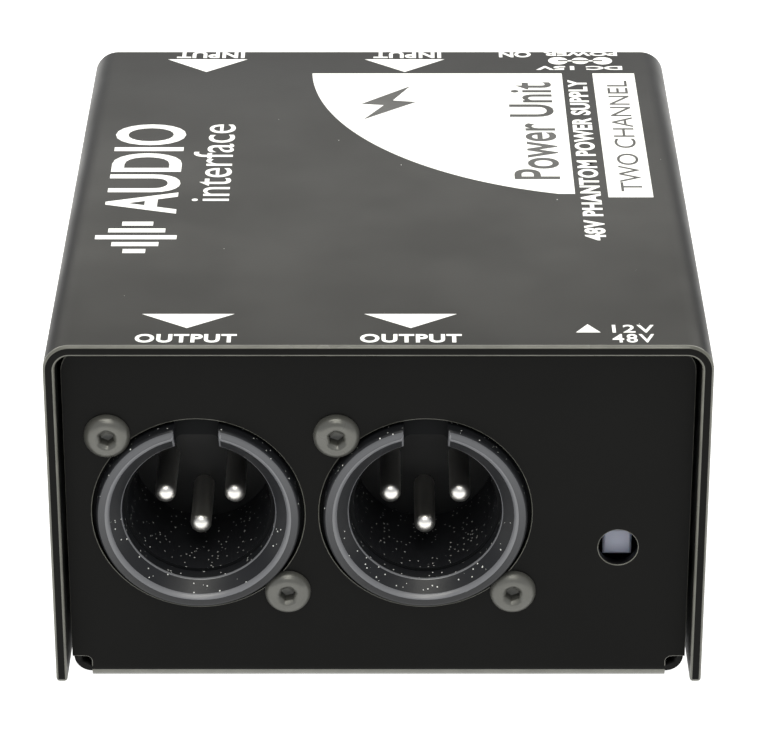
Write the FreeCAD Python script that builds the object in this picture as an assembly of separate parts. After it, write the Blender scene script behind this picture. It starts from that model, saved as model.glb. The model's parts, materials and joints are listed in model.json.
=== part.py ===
"""Two-channel 48 V phantom power box in a book-end steel case.

Frame: millimetres, origin on the ground under the middle of the case, +X to the right as seen from the
output side, +Y from the output panel to the input panel, +Z up.
Each function below makes one physical piece, or one group of identical pieces, and save() writes it to
parts/NODE.step.
"""
import FreeCAD, Part
import math
import os

V = FreeCAD.Vector
X_AXIS = V(1, 0, 0)
Y_AXIS = V(0, 1, 0)
Z_AXIS = V(0, 0, 1)

margin = 1.0                   # how far a cutting solid runs past what it cuts
drill_length = 20.0            # long enough to go through any moulding

# ---- case ---------------------------------------------------------------------------------------
pad_thickness = 1.5            # rubber under the base
pad_inset = 5.0                # from the edge of the base to the edge of the pad
pad_corner = 4.0
cover_width = 73.2
cover_depth = 86.4
cover_height = 42.5
cover_sheet = 1.3
cover_bend = 3.0               # outer bend radius
cover_tip_edge = 0.52          # rounding of the wall tips
cover_tip_rise = 1.5           # the wall tips stay this far above the underside of the base
overhang = 2.9                 # the cover stands proud of both end panels
chassis_width = 69.8
chassis_sheet = 1.2
chassis_bend = 2.0             # outer bend radius
roof_gap = 0.3                 # between the panels' top edges and the cover
panel_top_corner = 2.8
notch_width = 2.2              # corner relief between panel, base and flange
notch_height = 3.2
notch_corner = 0.7
flange_top_z = 12.0
flange_end_gap = 1.0           # between a side flange and an end panel

base_z = pad_thickness
tip_z = base_z + cover_tip_rise
top_z = tip_z + cover_height
panel_top_z = top_z - cover_sheet - roof_gap
half_width = cover_width / 2
half_depth = cover_depth / 2
panel_y = half_depth - overhang                 # outer faces of both end panels
panel_back_y = panel_y - chassis_sheet          # inner faces
flange_x = chassis_width / 2
flange_in_x = flange_x - chassis_sheet
floor_z = base_z + chassis_sheet                # top of the base sheet
through_sheet = chassis_sheet + 2 * margin

# ---- cover screws and clinch nuts (M3, countersunk) -----------------------------------------------
cover_screw_y = 24.0
cover_screw_z = 7.6
m3_radius = 1.5
m3_clearance_radius = 1.65
countersunk_head_radius = 2.75
countersunk_length = 6.0
seat_ease = 0.02               # between a countersunk head and its seat
clinch_nut_radius = 2.9
clinch_nut_length = 1.8
clinch_collar_radius = 2.1
clinch_overlap = 0.1           # the collar runs into the nut's body
screw_hex_flat = 2.0
screw_hex_depth = 0.9

# ---- three-pin connectors -----------------------------------------------------------------------
connector_x = {"1": -20.15, "2": 5.25}          # 25.4 mm apart
connector_z = 23.2
panel_hole_radius = 11.9
ring_radius = 11.4
ring_proud = 1.2                                # the rim ring stands proud of the panel
rim_proud_y = panel_y + ring_proud              # distance of both rims from the middle
lip_flat_radius = 10.4                          # inner edge of the flat on the rim
lip_throat_radius = 9.9
lip_throat_depth = 0.5
lip_bevel_width = 0.35                          # first, flatter part of the lip's slope
lip_bevel_depth = 0.12
ring_edge = 0.3                                 # rounding of the rim's outer edge
step_radius = 8.6
step_depth = 1.7
cup_radius = 8.1
cup_edge_depth = 3.2
cup_depth = 15.7                                # from the rim to the cup's floor
cup_taper = 0.1
tube_radius = 10.2
tube_overrun = 1.0                              # a shell runs on past its inside floor
ring_root = 0.5                                 # the ring runs on past the panel's inner face
ear_overlap = 0.2                               # the ear runs into the ring
ear_front = ring_proud + chassis_sheet          # depth of the ears below the rim
ear_thickness = 2.4
ear_width = 25.0
ear_height = 26.0
ear_corner = 3.0
rim_notch_width = 4.9
rim_notch_floor = 7.5                           # above the connector's axis
latch_window_floor = 6.6
latch_window_roof = 9.4
latch_window_corner = 0.9
latch_window_length = 7.5
screw_offset = 9.9                              # of the two diagonal fixing screws
fixing_radius = 1.25                            # thread-forming hole in the ear
fixing_clearance = 1.6                          # hole in the panel
button_radius = 2.6
button_height = 1.35
fixing_length = 5.0
hex_flat = 1.65
hex_depth = 1.0
hex_cone_radius = 1.25
hex_cone_depth = 0.4

pin_radius = 1.18
pin_circle = 3.94
pin_tip_depth = 5.5                             # below the rim
pin_tip_radius = 0.531
pin_nose = 0.75                                 # length of the taper
pin_back = 2.6                                  # how far a pin runs into its carrier
tail_radius = 0.45
tail_inset = 0.1                                # from a tail to the back of its pin
carrier_thickness = 5.0
carrier_foot_half_width = 7.0

socket_bore_radius = 9.55                       # inside the female shell
socket_chamfer = 0.4
socket_insert_radius = 7.9
socket_tube_radius = 10.5                       # outside of the female shell
socket_insert_recess = 0.9
socket_depth = 14.6
socket_hole_radius = 1.45
key_half_width = 1.1                            # rib under the insert that orients the plug
key_set_back = 1.0
key_outer_radius = 9.2
key_inner_radius = 7.5
contact_wall = 0.25
contact_recess = 1.0
contact_length = 15.2
contact_floor = 5.2                             # solid back end of a sleeve
tail_set_back = 0.7                             # a tail's axis from the sleeve's back end

# ---- release latch of each input ----------------------------------------------------------------
latch_width = 7.4
latch_slot_side = 0.3
latch_slot_top = 14.6                           # above the connector's axis
latch_slot_low = 5.0                            # inside the round hole
latch_slot_corner = 0.6
latch_tab_height = 2.7
latch_tab_proud = 1.9
latch_arm_thickness = 1.2
latch_arm_z = 11.6                              # underside of the arm above the connector's axis
latch_pivot_y = panel_back_y - 3.9
latch_pivot_radius = 0.6
latch_pivot_clearance = 0.05
latch_pivot_z = connector_z + latch_arm_z + latch_arm_thickness / 2
latch_boss_radius = 1.35
latch_tab_gap = 0.3                             # between the panel and the tab
latch_tab_drop = 0.1                            # the tab starts this far below the arm
latch_tab_edge = 0.5
latch_hook_y = 5.2                              # from the pivot back to the hook
latch_hook_reach = 9.0                          # height of the hook's tip above the connector's axis
latch_hook_half_width = 2.15
latch_hook_back = 0.7                           # the arm runs this far past the hook's middle
latch_hook_tip = 0.5
latch_hook_root = 1.6
latch_room_half = latch_width / 2 + latch_slot_side
cheek_thickness = 1.6                           # of the ears that hold the pivot pin
cheek_back = 2.2                                # behind the pivot
cheek_front_gap = 0.5                           # from the panel
cheek_foot = 9.0                                # all heights here are above the connector's axis
cheek_top = 14.8
tab_space_depth = 2.5                           # behind the panel's inner face
tab_space_floor = 10.45
hook_window_half = 1.6
hook_window_floor = 8.5
spring_strip = 0.25
spring_strip_width = 2.4
spring_gap = 0.05                               # to the shell below and the lever above
spring_foot = 0.6                               # flat part that lies on the shell
spring_run = 1.9                                # from the foot's end to the lifted end's
spring_front = 1.5                              # in front of the pivot

# ---- circuit board ------------------------------------------------------------------------------
board_top_z = 12.5
board_thickness = 1.6
board_half_width = 31.0
board_half_length = 37.8
board_corner = 2.0
tail_below_board = 1.2
board_bottom_z = board_top_z - board_thickness
tail_bottom_z = board_bottom_z - tail_below_board
plated_hole_radius = tail_radius + 0.2
standoff_places = [(-7.6, -20.0), (-7.6, 20.0)]
standoff_flat = 5.0
board_screw_length = 5.0
board_screw_head_radius = 2.6
board_screw_head_height = 1.6
board_screw_edge = 0.6
cross_length = 4.0
cross_width = 0.6
cross_depth = 0.7
screw_room = 0.3                                # from the board to a connector's fixing screw
ear_room = 0.2                                  # from the board to a connector's ear

# ---- components, by their places on the board -----------------------------------------------------
component_lift = 0.3                            # small gap under the cans
reservoir_places = [(-24.0, -8.0), (-24.0, 8.0)]
reservoir_radius = 5.0
reservoir_height = 16.0
output_can_places = [(2.0, -12.5), (2.0, 12.5), (9.5, -12.5), (9.5, 12.5)]
output_can_radius = 3.15
output_can_height = 11.2
can_edge = 0.5
inductor_place = (22.5, 3.5)
inductor_radius = 5.5
inductor_flange = 1.4
winding_radius = 4.3
winding_height = 5.2
chip_place = (10.0, 0.0)
chip_length = 5.0
chip_width = 4.0
chip_lift = 0.15
chip_height = 1.6
chip_foot_pitch = 1.27
chip_foot_side = 0.4
chip_foot_reach = 1.0
chip_foot_height = 0.6
chip_feet_per_side = 4
resistor_first_x = -13.5
resistor_pitch = 3.6
resistor_count = 4
resistor_radius = 1.2
resistor_length = 6.4
resistor_lift = 1.5
resistor_lead_radius = 0.3
resistor_lead_span = 10.0
diode_place = (22.5, -6.2)
diode_radius = 1.3
diode_length = 5.0
diode_lift = 1.6
diode_lead_radius = 0.4
diode_lead_span = 9.0

# ---- supply selector ----------------------------------------------------------------------------
selector_x = 26.9
selector_hole_z = 18.9
selector_hole_radius = 2.23
plunger_side = 3.3
plunger_drop = 0.35                             # the plunger sits a little below the hole's centre
plunger_recess = 2.0                            # its face below the panel's outer face
plunger_z = selector_hole_z - plunger_drop
plunger_chamfer = 0.25
plunger_clearance = 0.06
shoulder_proud = 0.6                            # step that keeps the plunger in the body
shoulder_length = 2.2
guide_radius = 0.7
guide_length = 4.0
selector_body_width = 7.8
selector_body_length = 13.0
selector_body_front_y = -panel_back_y + 3.2
selector_wall = 1.2
selector_corner = 0.4
return_wire_radius = 0.15
return_coil_radius = 1.2
return_turns = 6
terminal_side = 0.6
terminal_pitch = 4.0
terminal_row_half_gap = 2.5

# ---- power inlet --------------------------------------------------------------------------------
inlet_x = 26.2
inlet_z = 19.0
inlet_hole_radius = 4.1
inlet_nose_radius = 3.9
inlet_bore_radius = 3.15
inlet_bore_depth = 10.0
inlet_pin_radius = 1.0
inlet_body_width = 9.0
inlet_body_height = 11.0
inlet_body_length = 13.2
inlet_body_gap = 0.1                            # between the body and the panel
inlet_body_corner = 1.2
inlet_nose_root = 1.0                           # the nose runs into the body
inlet_pin_set_back = 1.0                        # from the panel's outer face to the pin's end
inlet_pin_root = 2.5                            # how far the pin runs into the body
inlet_pin_edge = 0.6
inlet_contact_thickness = 0.5
inlet_contact_length = 5.0
inlet_contact_width = 1.4
inlet_contact_start = 0.5                       # from the bore's floor

# ---- power lamp ---------------------------------------------------------------------------------
lamp_x = 19.8
lamp_z = 34.0
lamp_radius = 1.5
lamp_collar_radius = 1.9
lamp_collar_thickness = 1.0
lamp_clearance = 0.05
lamp_proud = 1.2
lamp_length = 4.6
lamp_dome = 1.2                                 # rounding of its end
lamp_lead_half_gap = 0.635
lamp_lead_side = 0.5
lamp_lead_run = 3.0                             # straight back before the leads turn down


# ---- helpers ------------------------------------------------------------------------------------
def save(name, shape):
    """Write one node. Loose pieces of one group stay separate solids."""
    os.makedirs("parts", exist_ok=True)
    shape.exportStep("parts/" + name + ".step")
    print(name, "solids", len(shape.Solids), "valid", shape.isValid(), "volume %.2f" % shape.Volume)


def block(x0, x1, y0, y1, z0, z1):
    return Part.makeBox(x1 - x0, y1 - y0, z1 - z0, V(x0, y0, z0))


def rod(radius, start, direction, length):
    return Part.makeCylinder(radius, length, start, direction)


def edges_along(shape, axis, picks=None):
    """Straight edges of a solid that run along one axis."""
    found = []
    for edge in shape.Edges:
        if isinstance(edge.Curve, (Part.Line, Part.LineSegment)):
            run = edge.Vertexes[-1].Point.sub(edge.Vertexes[0].Point)
            if run.cross(axis).Length < 1e-6 and (picks is None or picks(edge.CenterOfMass)):
                found.append(edge)
    return found


def rounded_block(x0, x1, y0, y1, z0, z1, radius, axis, picks=None):
    solid = block(x0, x1, y0, y1, z0, z1)
    return solid.makeFillet(radius, edges_along(solid, axis, picks))


def revolved(points, axis_x, axis_z, face_y, facing):
    """Turn a closed outline of (radius, depth) points about a connector's axis.

    depth is measured inwards from face_y; facing is -1 on the front panel and +1 on the rear one.
    """
    corners = [V(axis_x + r, face_y - facing * d, axis_z) for r, d in points]
    wire = Part.makePolygon(corners + [corners[0]])
    return Part.Face(wire).revolve(V(axis_x, 0, axis_z), Y_AXIS, 360)


def hex_prism(flat, start, direction, length):
    """A hexagonal prism, flat to flat, along one axis."""
    radius = flat / math.sqrt(3)
    normal = V(direction).normalize()
    side = X_AXIS if abs(normal.dot(X_AXIS)) < 0.5 else Y_AXIS
    up = normal.cross(side)
    corners = []
    for k in range(6):
        angle = math.pi / 3 * k
        corners.append(start + side * (radius * math.cos(angle)) + up * (radius * math.sin(angle)))
    wire = Part.makePolygon(corners + [corners[0]])
    return Part.Face(wire).extrude(normal * length)


def group(solids):
    return Part.makeCompound(solids)


def facing_panel(facing):
    """Outer and inner face of the end panel that looks along facing * Y."""
    return facing * panel_y, facing * panel_back_y


def screw_points(x, facing):
    """Upper-left and lower-right fixing holes, as seen from outside the panel."""
    left = x + facing * screw_offset
    right = x - facing * screw_offset
    return [(left, connector_z + screw_offset), (right, connector_z - screw_offset)]


def pin_points(x):
    """Three contacts: two on the connector's axis height and one below."""
    return [(x - pin_circle, connector_z), (x + pin_circle, connector_z), (x, connector_z - pin_circle)]


# ---- case ---------------------------------------------------------------------------------------
def make_cover():
    outer = block(-half_width, half_width, -half_depth, half_depth, tip_z, top_z)
    outer = outer.makeFillet(cover_bend, edges_along(outer, Y_AXIS, lambda p: p.z > top_z - margin))
    inner_x = half_width - cover_sheet
    inner = block(-inner_x, inner_x, -half_depth - margin, half_depth + margin, tip_z - margin,
                  top_z - cover_sheet)
    inner = inner.makeFillet(cover_bend - cover_sheet,
                             edges_along(inner, Y_AXIS, lambda p: p.z > top_z - cover_bend))
    cover = outer.cut(inner)
    tips = edges_along(cover, Y_AXIS, lambda p: p.z < tip_z + 0.1)
    cover = cover.makeFillet(cover_tip_edge, tips)
    for side in (-1, 1):
        for y in (-cover_screw_y, cover_screw_y):
            cover = cover.cut(countersunk_body(side, y, seat_ease))
    return cover


def countersunk_body(side, y, ease):
    """Head and shank of a countersunk screw, grown by ease to cut its seat."""
    surface = V(side * half_width, y, cover_screw_z)
    inwards = X_AXIS * -side
    cone_length = countersunk_head_radius - m3_radius
    cone = Part.makeCone(countersunk_head_radius + ease, m3_radius + ease, cone_length, surface, inwards)
    return cone.fuse(rod(m3_radius + ease, surface, inwards, countersunk_length)).removeSplitter()


def make_cover_screws():
    screws = []
    for side in (-1, 1):
        for y in (-cover_screw_y, cover_screw_y):
            surface = V(side * half_width, y, cover_screw_z)
            screw = countersunk_body(side, y, 0.0)
            screws.append(screw.cut(hex_prism(screw_hex_flat, surface, X_AXIS * -side, screw_hex_depth)))
    return group(screws)


def make_clinch_nuts():
    nuts = []
    for side in (-1, 1):
        for y in (-cover_screw_y, cover_screw_y):
            collar_start = V(side * flange_x, y, cover_screw_z)
            body_start = V(side * flange_in_x, y, cover_screw_z)
            inwards = X_AXIS * -side
            nut = rod(clinch_nut_radius, body_start, inwards, clinch_nut_length)
            nut = nut.fuse(rod(clinch_collar_radius, collar_start, inwards, chassis_sheet + clinch_overlap))
            nut = nut.cut(rod(m3_radius, collar_start, inwards, chassis_sheet + clinch_nut_length + margin))
            nuts.append(nut.removeSplitter())
    return group(nuts)


def folded_channel(half_length, half_span, radius, height, sheet, axis):
    """A U of sheet metal, open upwards, whose profile is extruded along one axis."""
    outer = block(-half_length, half_length, -half_span, half_span, base_z, height)
    inner = block(-half_length - margin, half_length + margin, -half_span + sheet, half_span - sheet,
                  base_z + sheet, height + margin)
    if axis is Y_AXIS:
        outer = block(-half_span, half_span, -half_length, half_length, base_z, height)
        inner = block(-half_span + sheet, half_span - sheet, -half_length - margin,
                      half_length + margin, base_z + sheet, height + margin)
    outer = outer.makeFillet(radius, edges_along(outer, axis, lambda p: p.z < base_z + sheet))
    inner = inner.makeFillet(radius - sheet, edges_along(inner, axis, lambda p: p.z < height))
    return outer.cut(inner)


def make_chassis():
    panels = folded_channel(flange_x, panel_y, chassis_bend, panel_top_z, chassis_sheet, X_AXIS)
    top_corners = edges_along(panels, Y_AXIS, lambda p: p.z > panel_top_z - margin)
    panels = panels.makeFillet(panel_top_corner, top_corners)
    flange_half = panel_back_y - flange_end_gap
    flanges = folded_channel(flange_half, flange_x, chassis_bend, flange_top_z, chassis_sheet, Y_AXIS)
    notch_depth = chassis_sheet + flange_end_gap
    for side in (-1, 1):
        for facing in (-1, 1):
            x_in = side * (flange_x - notch_width)
            x_out = side * (flange_x + margin)
            y_in = facing * (panel_y - notch_depth)
            y_out = facing * (panel_y + margin)
            relief = block(min(x_in, x_out), max(x_in, x_out), min(y_in, y_out), max(y_in, y_out),
                           base_z - margin, base_z + notch_height)
            inner_edge = edges_along(
                relief, Y_AXIS, lambda p: p.z > base_z and abs(p.x) < flange_x - notch_corner)
            panels = panels.cut(relief.makeFillet(notch_corner, inner_edge))
    for side in (-1, 1):
        x_a = side * (flange_x - notch_width)
        x_b = side * (flange_x + margin)
        panels = panels.cut(block(min(x_a, x_b), max(x_a, x_b), -flange_half, flange_half,
                                  base_z - margin, base_z + chassis_bend))
    chassis = panels.fuse(flanges).removeSplitter()
    for facing in (-1, 1):
        start_y = min(facing_panel(facing)) - margin
        for x in connector_x.values():
            chassis = chassis.cut(rod(panel_hole_radius, V(x, start_y, connector_z), Y_AXIS, through_sheet))
            for sx, sz in screw_points(x, facing):
                chassis = chassis.cut(rod(fixing_clearance, V(sx, start_y, sz), Y_AXIS, through_sheet))
    for x in connector_x.values():
        slot_half = latch_width / 2 + latch_slot_side
        slot = rounded_block(x - slot_half, x + slot_half, panel_back_y - margin, panel_y + margin,
                             connector_z + latch_slot_low, connector_z + latch_slot_top,
                             latch_slot_corner, Y_AXIS,
                             lambda p: p.z > connector_z + latch_slot_top - margin)
        chassis = chassis.cut(slot)
    round_holes = [
        (selector_x, selector_hole_z, selector_hole_radius, -1),
        (inlet_x, inlet_z, inlet_hole_radius, 1),
        (lamp_x, lamp_z, lamp_radius + lamp_clearance, 1),
    ]
    for x, z, radius, facing in round_holes:
        start = V(x, min(facing_panel(facing)) - margin, z)
        chassis = chassis.cut(rod(radius, start, Y_AXIS, through_sheet))
    for side in (-1, 1):
        for y in (-cover_screw_y, cover_screw_y):
            start = V(side * (flange_x + margin), y, cover_screw_z)
            chassis = chassis.cut(rod(clinch_collar_radius, start, X_AXIS * -side, through_sheet))
    for x, y in standoff_places:
        chassis = chassis.cut(rod(m3_clearance_radius, V(x, y, base_z - margin), Z_AXIS, through_sheet))
    return chassis


def make_pad():
    half_x = flange_x - pad_inset
    half_y = panel_y - pad_inset
    return rounded_block(-half_x, half_x, -half_y, half_y, 0, pad_thickness, pad_corner, Z_AXIS)


# ---- connector housings -------------------------------------------------------------------------
def ear_plate(x, facing, height_below):
    """The flange that lies against the inside of the panel."""
    inner = facing * panel_back_y
    back = inner - facing * ear_thickness
    plate = rounded_block(x - ear_width / 2, x + ear_width / 2, min(inner, back), max(inner, back),
                          connector_z - height_below, connector_z + ear_height / 2, ear_corner, Y_AXIS,
                          lambda p: p.z > connector_z)
    return plate


def make_output_housing(x):
    facing = -1
    rim_y = facing * rim_proud_y
    tube_back = cup_depth + tube_overrun
    outline = [
        (cup_radius, tube_back), (tube_radius, tube_back), (tube_radius, ear_front + ring_root),
        (ring_radius, ear_front + ring_root), (ring_radius, ring_edge), (ring_radius - ring_edge, 0.0),
        (lip_flat_radius, 0.0), (lip_flat_radius - lip_bevel_width, lip_bevel_depth),
        (lip_throat_radius, lip_throat_depth), (step_radius, step_depth),
        (step_radius - cup_taper, cup_edge_depth), (cup_radius, cup_edge_depth),
    ]
    shell = revolved(outline, x, connector_z, rim_y, facing)
    plate = ear_plate(x, facing, connector_z - board_top_z)
    plate = plate.cut(rod(ring_radius - ear_overlap, V(x, rim_y, connector_z), Y_AXIS, drill_length))
    housing = shell.fuse(plate)
    for sx, sz in screw_points(x, facing):
        housing = housing.cut(rod(fixing_radius, V(sx, rim_y, sz), Y_AXIS, drill_length))
    half = rim_notch_width / 2
    notch = block(x - half, x + half, rim_y - margin, rim_y + ear_front, connector_z + rim_notch_floor,
                  connector_z + ring_radius + margin)
    window = rounded_block(x - half, x + half, rim_y - margin, rim_y + latch_window_length,
                           connector_z + latch_window_floor, connector_z + latch_window_roof,
                           latch_window_corner, Y_AXIS, lambda p: p.z > connector_z + cup_radius)
    return housing.cut(notch).cut(window).removeSplitter()


def make_output_pins(x):
    """Contact rods with tapered noses and solder tails that go down through the board."""
    tip_y = pin_tip_depth - rim_proud_y
    back_y = cup_depth + pin_back - rim_proud_y
    tail_y = back_y - tail_radius - tail_inset
    pins = []
    for px, pz in pin_points(x):
        stem = rod(pin_radius, V(px, tip_y + pin_nose, pz), Y_AXIS, back_y - tip_y - pin_nose)
        nose = Part.makeCone(pin_tip_radius, pin_radius, pin_nose, V(px, tip_y, pz), Y_AXIS)
        tail = rod(tail_radius, V(px, tail_y, tail_bottom_z), Z_AXIS, pz - tail_bottom_z)
        pins.append(stem.fuse([nose, tail]).removeSplitter())
    return group(pins)


def make_output_carrier(x, pins):
    """The insert that closes the cup, holds the pins and stands on the board."""
    floor_y = cup_depth - rim_proud_y
    back_y = floor_y + carrier_thickness
    tube_end = floor_y + tube_overrun
    disc = rod(cup_radius, V(x, floor_y, connector_z), Y_AXIS, carrier_thickness)
    foot = block(x - carrier_foot_half_width, x + carrier_foot_half_width, tube_end, back_y,
                 board_top_z, connector_z)
    carrier = disc.fuse(foot).removeSplitter()
    return cut_all(carrier, pins.Solids)


def cut_all(shape, tools):
    for tool in tools:
        shape = shape.cut(tool)
    return shape


def make_button_screws(facing):
    """Dome-head socket screws that hold the connectors of one panel."""
    outer = facing * panel_y
    dome_radius = (button_radius ** 2 + button_height ** 2) / (2 * button_height)
    screws = []
    for x in connector_x.values():
        for sx, sz in screw_points(x, facing):
            seat = V(sx, outer, sz)
            outwards = Y_AXIS * facing
            dome = Part.makeSphere(dome_radius, V(sx, outer + facing * (button_height - dome_radius), sz))
            head = rod(button_radius, seat, outwards, button_height).common(dome)
            shank = rod(fixing_radius, seat, outwards * -1, fixing_length)
            screw = head.fuse(shank)
            mouth = V(sx, outer + facing * button_height, sz)
            cone = Part.makeCone(hex_cone_radius, hex_flat / 2, hex_cone_depth, mouth, outwards * -1)
            screw = screw.cut(cone)
            screw = screw.cut(hex_prism(hex_flat, mouth, outwards * -1, hex_depth))
            screws.append(screw.removeSplitter())
    return group(screws)


def make_input_housing(x):
    facing = 1
    rim_y = facing * rim_proud_y
    tube_back = socket_depth + tube_overrun
    outline = [
        (socket_bore_radius, tube_back), (socket_tube_radius, tube_back),
        (socket_tube_radius, ear_front + ring_root), (ring_radius, ear_front + ring_root),
        (ring_radius, ring_edge), (ring_radius - ring_edge, 0.0),
        (socket_bore_radius + socket_chamfer, 0.0), (socket_bore_radius, socket_chamfer),
    ]
    shell = revolved(outline, x, connector_z, rim_y, facing)
    plate = ear_plate(x, facing, connector_z - board_top_z)
    plate = plate.cut(rod(ring_radius - ear_overlap, V(x, rim_y, connector_z), Y_AXIS * -1, drill_length))
    cheeks = []
    for side in (-1, 1):
        x_in = x + side * latch_room_half
        x_out = x_in + side * cheek_thickness
        cheeks.append(block(min(x_in, x_out), max(x_in, x_out), latch_pivot_y - cheek_back,
                            panel_back_y - cheek_front_gap, connector_z + cheek_foot,
                            connector_z + cheek_top))
    housing = shell.fuse([plate] + cheeks)
    for sx, sz in screw_points(x, facing):
        housing = housing.cut(rod(fixing_radius, V(sx, rim_y, sz), Y_AXIS * -1, drill_length))
    tab_space = block(x - latch_room_half, x + latch_room_half, panel_back_y - tab_space_depth,
                      rim_y + margin, connector_z + tab_space_floor, connector_z + ear_height / 2 + margin)
    hook_y = latch_pivot_y - latch_hook_y
    hook_window = block(x - latch_room_half, x + latch_room_half, hook_y - hook_window_half,
                        hook_y + hook_window_half, connector_z + hook_window_floor,
                        connector_z + latch_slot_top)
    return cut_all(housing, [tab_space, hook_window, make_latch_pin(x)]).removeSplitter()


def make_latch_pin(x):
    half = latch_room_half + cheek_thickness
    return rod(latch_pivot_radius, V(x - half, latch_pivot_y, latch_pivot_z), X_AXIS, 2 * half)


def make_latch(x):
    """Rocking lever: a press tab outside, a pivot in the middle and a hook inside."""
    half = latch_width / 2
    arm_low = connector_z + latch_arm_z
    arm_high = arm_low + latch_arm_thickness
    tab_front = panel_y + latch_tab_proud
    tab_low = arm_low - latch_tab_drop
    hook_back = latch_pivot_y - latch_hook_y - latch_hook_back
    arm = block(x - half, x + half, hook_back, tab_front, arm_low, arm_high)
    boss = rod(latch_boss_radius, V(x - half, latch_pivot_y, latch_pivot_z), X_AXIS, latch_width)
    tab = block(x - half, x + half, panel_y + latch_tab_gap, tab_front, tab_low,
                tab_low + latch_tab_height)
    front_edges = edges_along(tab, X_AXIS, lambda p: p.y > tab_front - latch_tab_edge)
    tab = tab.makeFillet(latch_tab_edge, front_edges)
    hook_low = connector_z + latch_hook_reach
    hook_left = x - latch_hook_half_width
    corners = [
        V(hook_left, hook_back, arm_low), V(hook_left, hook_back, hook_low),
        V(hook_left, hook_back + latch_hook_tip, hook_low),
        V(hook_left, hook_back + latch_hook_root, arm_low),
    ]
    hook = Part.Face(Part.makePolygon(corners + [corners[0]])).extrude(X_AXIS * (2 * latch_hook_half_width))
    lever = arm.fuse([boss, tab, hook]).removeSplitter()
    hole = rod(latch_pivot_radius + latch_pivot_clearance,
               V(x - half - margin, latch_pivot_y, latch_pivot_z), X_AXIS, latch_width + 2 * margin)
    return lever.cut(hole)


def make_latch_spring(x):
    """A bent leaf that lies on the shell and lifts the front of the lever."""
    left = x - spring_strip_width / 2
    seat_z = connector_z + socket_tube_radius + spring_gap
    lift_z = connector_z + latch_arm_z - spring_strip - spring_gap
    start_y = latch_pivot_y + spring_front
    profile = [
        V(left, start_y, seat_z), V(left, start_y + spring_foot, seat_z),
        V(left, start_y + spring_run, lift_z), V(left, start_y + spring_run, lift_z + spring_strip),
        V(left, start_y + spring_foot - spring_gap * 2, seat_z + spring_strip),
        V(left, start_y, seat_z + spring_strip),
    ]
    return Part.Face(Part.makePolygon(profile + [profile[0]])).extrude(X_AXIS * spring_strip_width)


def contact_sleeves(x):
    """Split-free socket sleeves with solder tails."""
    face_y = rim_proud_y - socket_insert_recess - contact_recess
    sleeves = []
    for px, pz in pin_points(x):
        outer = rod(socket_hole_radius, V(px, face_y, pz), Y_AXIS * -1, contact_length)
        inner = rod(socket_hole_radius - contact_wall, V(px, face_y + margin, pz), Y_AXIS * -1,
                    contact_length - contact_floor + margin)
        tail_y = face_y - contact_length + tail_set_back
        tail = rod(tail_radius, V(px, tail_y, tail_bottom_z), Z_AXIS, pz - tail_bottom_z)
        sleeves.append(outer.cut(inner).fuse(tail).removeSplitter())
    return group(sleeves)


def make_socket_insert(x, sleeves):
    """The insert that fills the middle of the socket, holds the sleeves and stands on the board."""
    face_y = rim_proud_y - socket_insert_recess
    floor_y = rim_proud_y - socket_depth
    tube_end = floor_y - tube_overrun
    post = rod(socket_insert_radius, V(x, face_y, connector_z), Y_AXIS * -1, face_y - floor_y)
    face_edges = [e for e in post.Edges if e.CenterOfMass.y > face_y - socket_chamfer]
    post = post.makeChamfer(socket_chamfer, face_edges)
    key = block(x - key_half_width, x + key_half_width, floor_y, face_y - key_set_back,
                connector_z - key_outer_radius, connector_z - key_inner_radius)
    plug = rod(socket_bore_radius, V(x, floor_y, connector_z), Y_AXIS * -1, carrier_thickness)
    foot = block(x - carrier_foot_half_width, x + carrier_foot_half_width,
                 floor_y - carrier_thickness, tube_end, board_top_z, connector_z)
    insert = post.fuse([key, plug, foot]).removeSplitter()
    for px, pz in pin_points(x):
        insert = insert.cut(rod(socket_hole_radius, V(px, face_y + margin, pz), Y_AXIS * -1,
                                margin + contact_recess + contact_length))
    below_axis = block(-half_width, half_width, -half_depth, half_depth, 0, connector_z)
    return cut_all(insert, [sleeve.common(below_axis) for sleeve in sleeves.Solids])


# ---- selector -----------------------------------------------------------------------------------
def make_plunger():
    half = plunger_side / 2
    face = plunger_recess - panel_y
    shoulder_y = selector_body_front_y + selector_wall
    shoulder_end = shoulder_y + shoulder_length
    stem_end = shoulder_y + margin
    stem = block(selector_x - half, selector_x + half, face, stem_end, plunger_z - half, plunger_z + half)
    front = edges_along(stem, Z_AXIS, lambda p: p.y < face + half)
    front += edges_along(stem, X_AXIS, lambda p: p.y < face + half)
    stem = stem.makeChamfer(plunger_chamfer, front)
    wide = half + shoulder_proud
    shoulder = block(selector_x - wide, selector_x + wide, shoulder_y, shoulder_end, plunger_z - wide,
                     plunger_z + wide)
    guide = rod(guide_radius, V(selector_x, stem_end, plunger_z), Y_AXIS, guide_length)
    return stem.fuse([shoulder, guide]).removeSplitter()


def make_selector_body():
    half = selector_body_width / 2
    front_y = selector_body_front_y
    back_y = front_y + selector_body_length
    body = block(selector_x - half, selector_x + half, front_y, back_y, board_top_z, plunger_z + half)
    body = body.makeFillet(selector_corner, edges_along(body, Y_AXIS, lambda p: p.z > plunger_z))
    mouth_half = plunger_side / 2 + plunger_clearance
    mouth = block(selector_x - mouth_half, selector_x + mouth_half, front_y - margin,
                  front_y + selector_wall + margin, plunger_z - mouth_half, plunger_z + mouth_half)
    room_half = mouth_half + shoulder_proud
    room = block(selector_x - room_half, selector_x + room_half, front_y + selector_wall,
                 back_y - selector_wall, plunger_z - room_half, plunger_z + room_half)
    return body.cut(mouth).cut(room)


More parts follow.
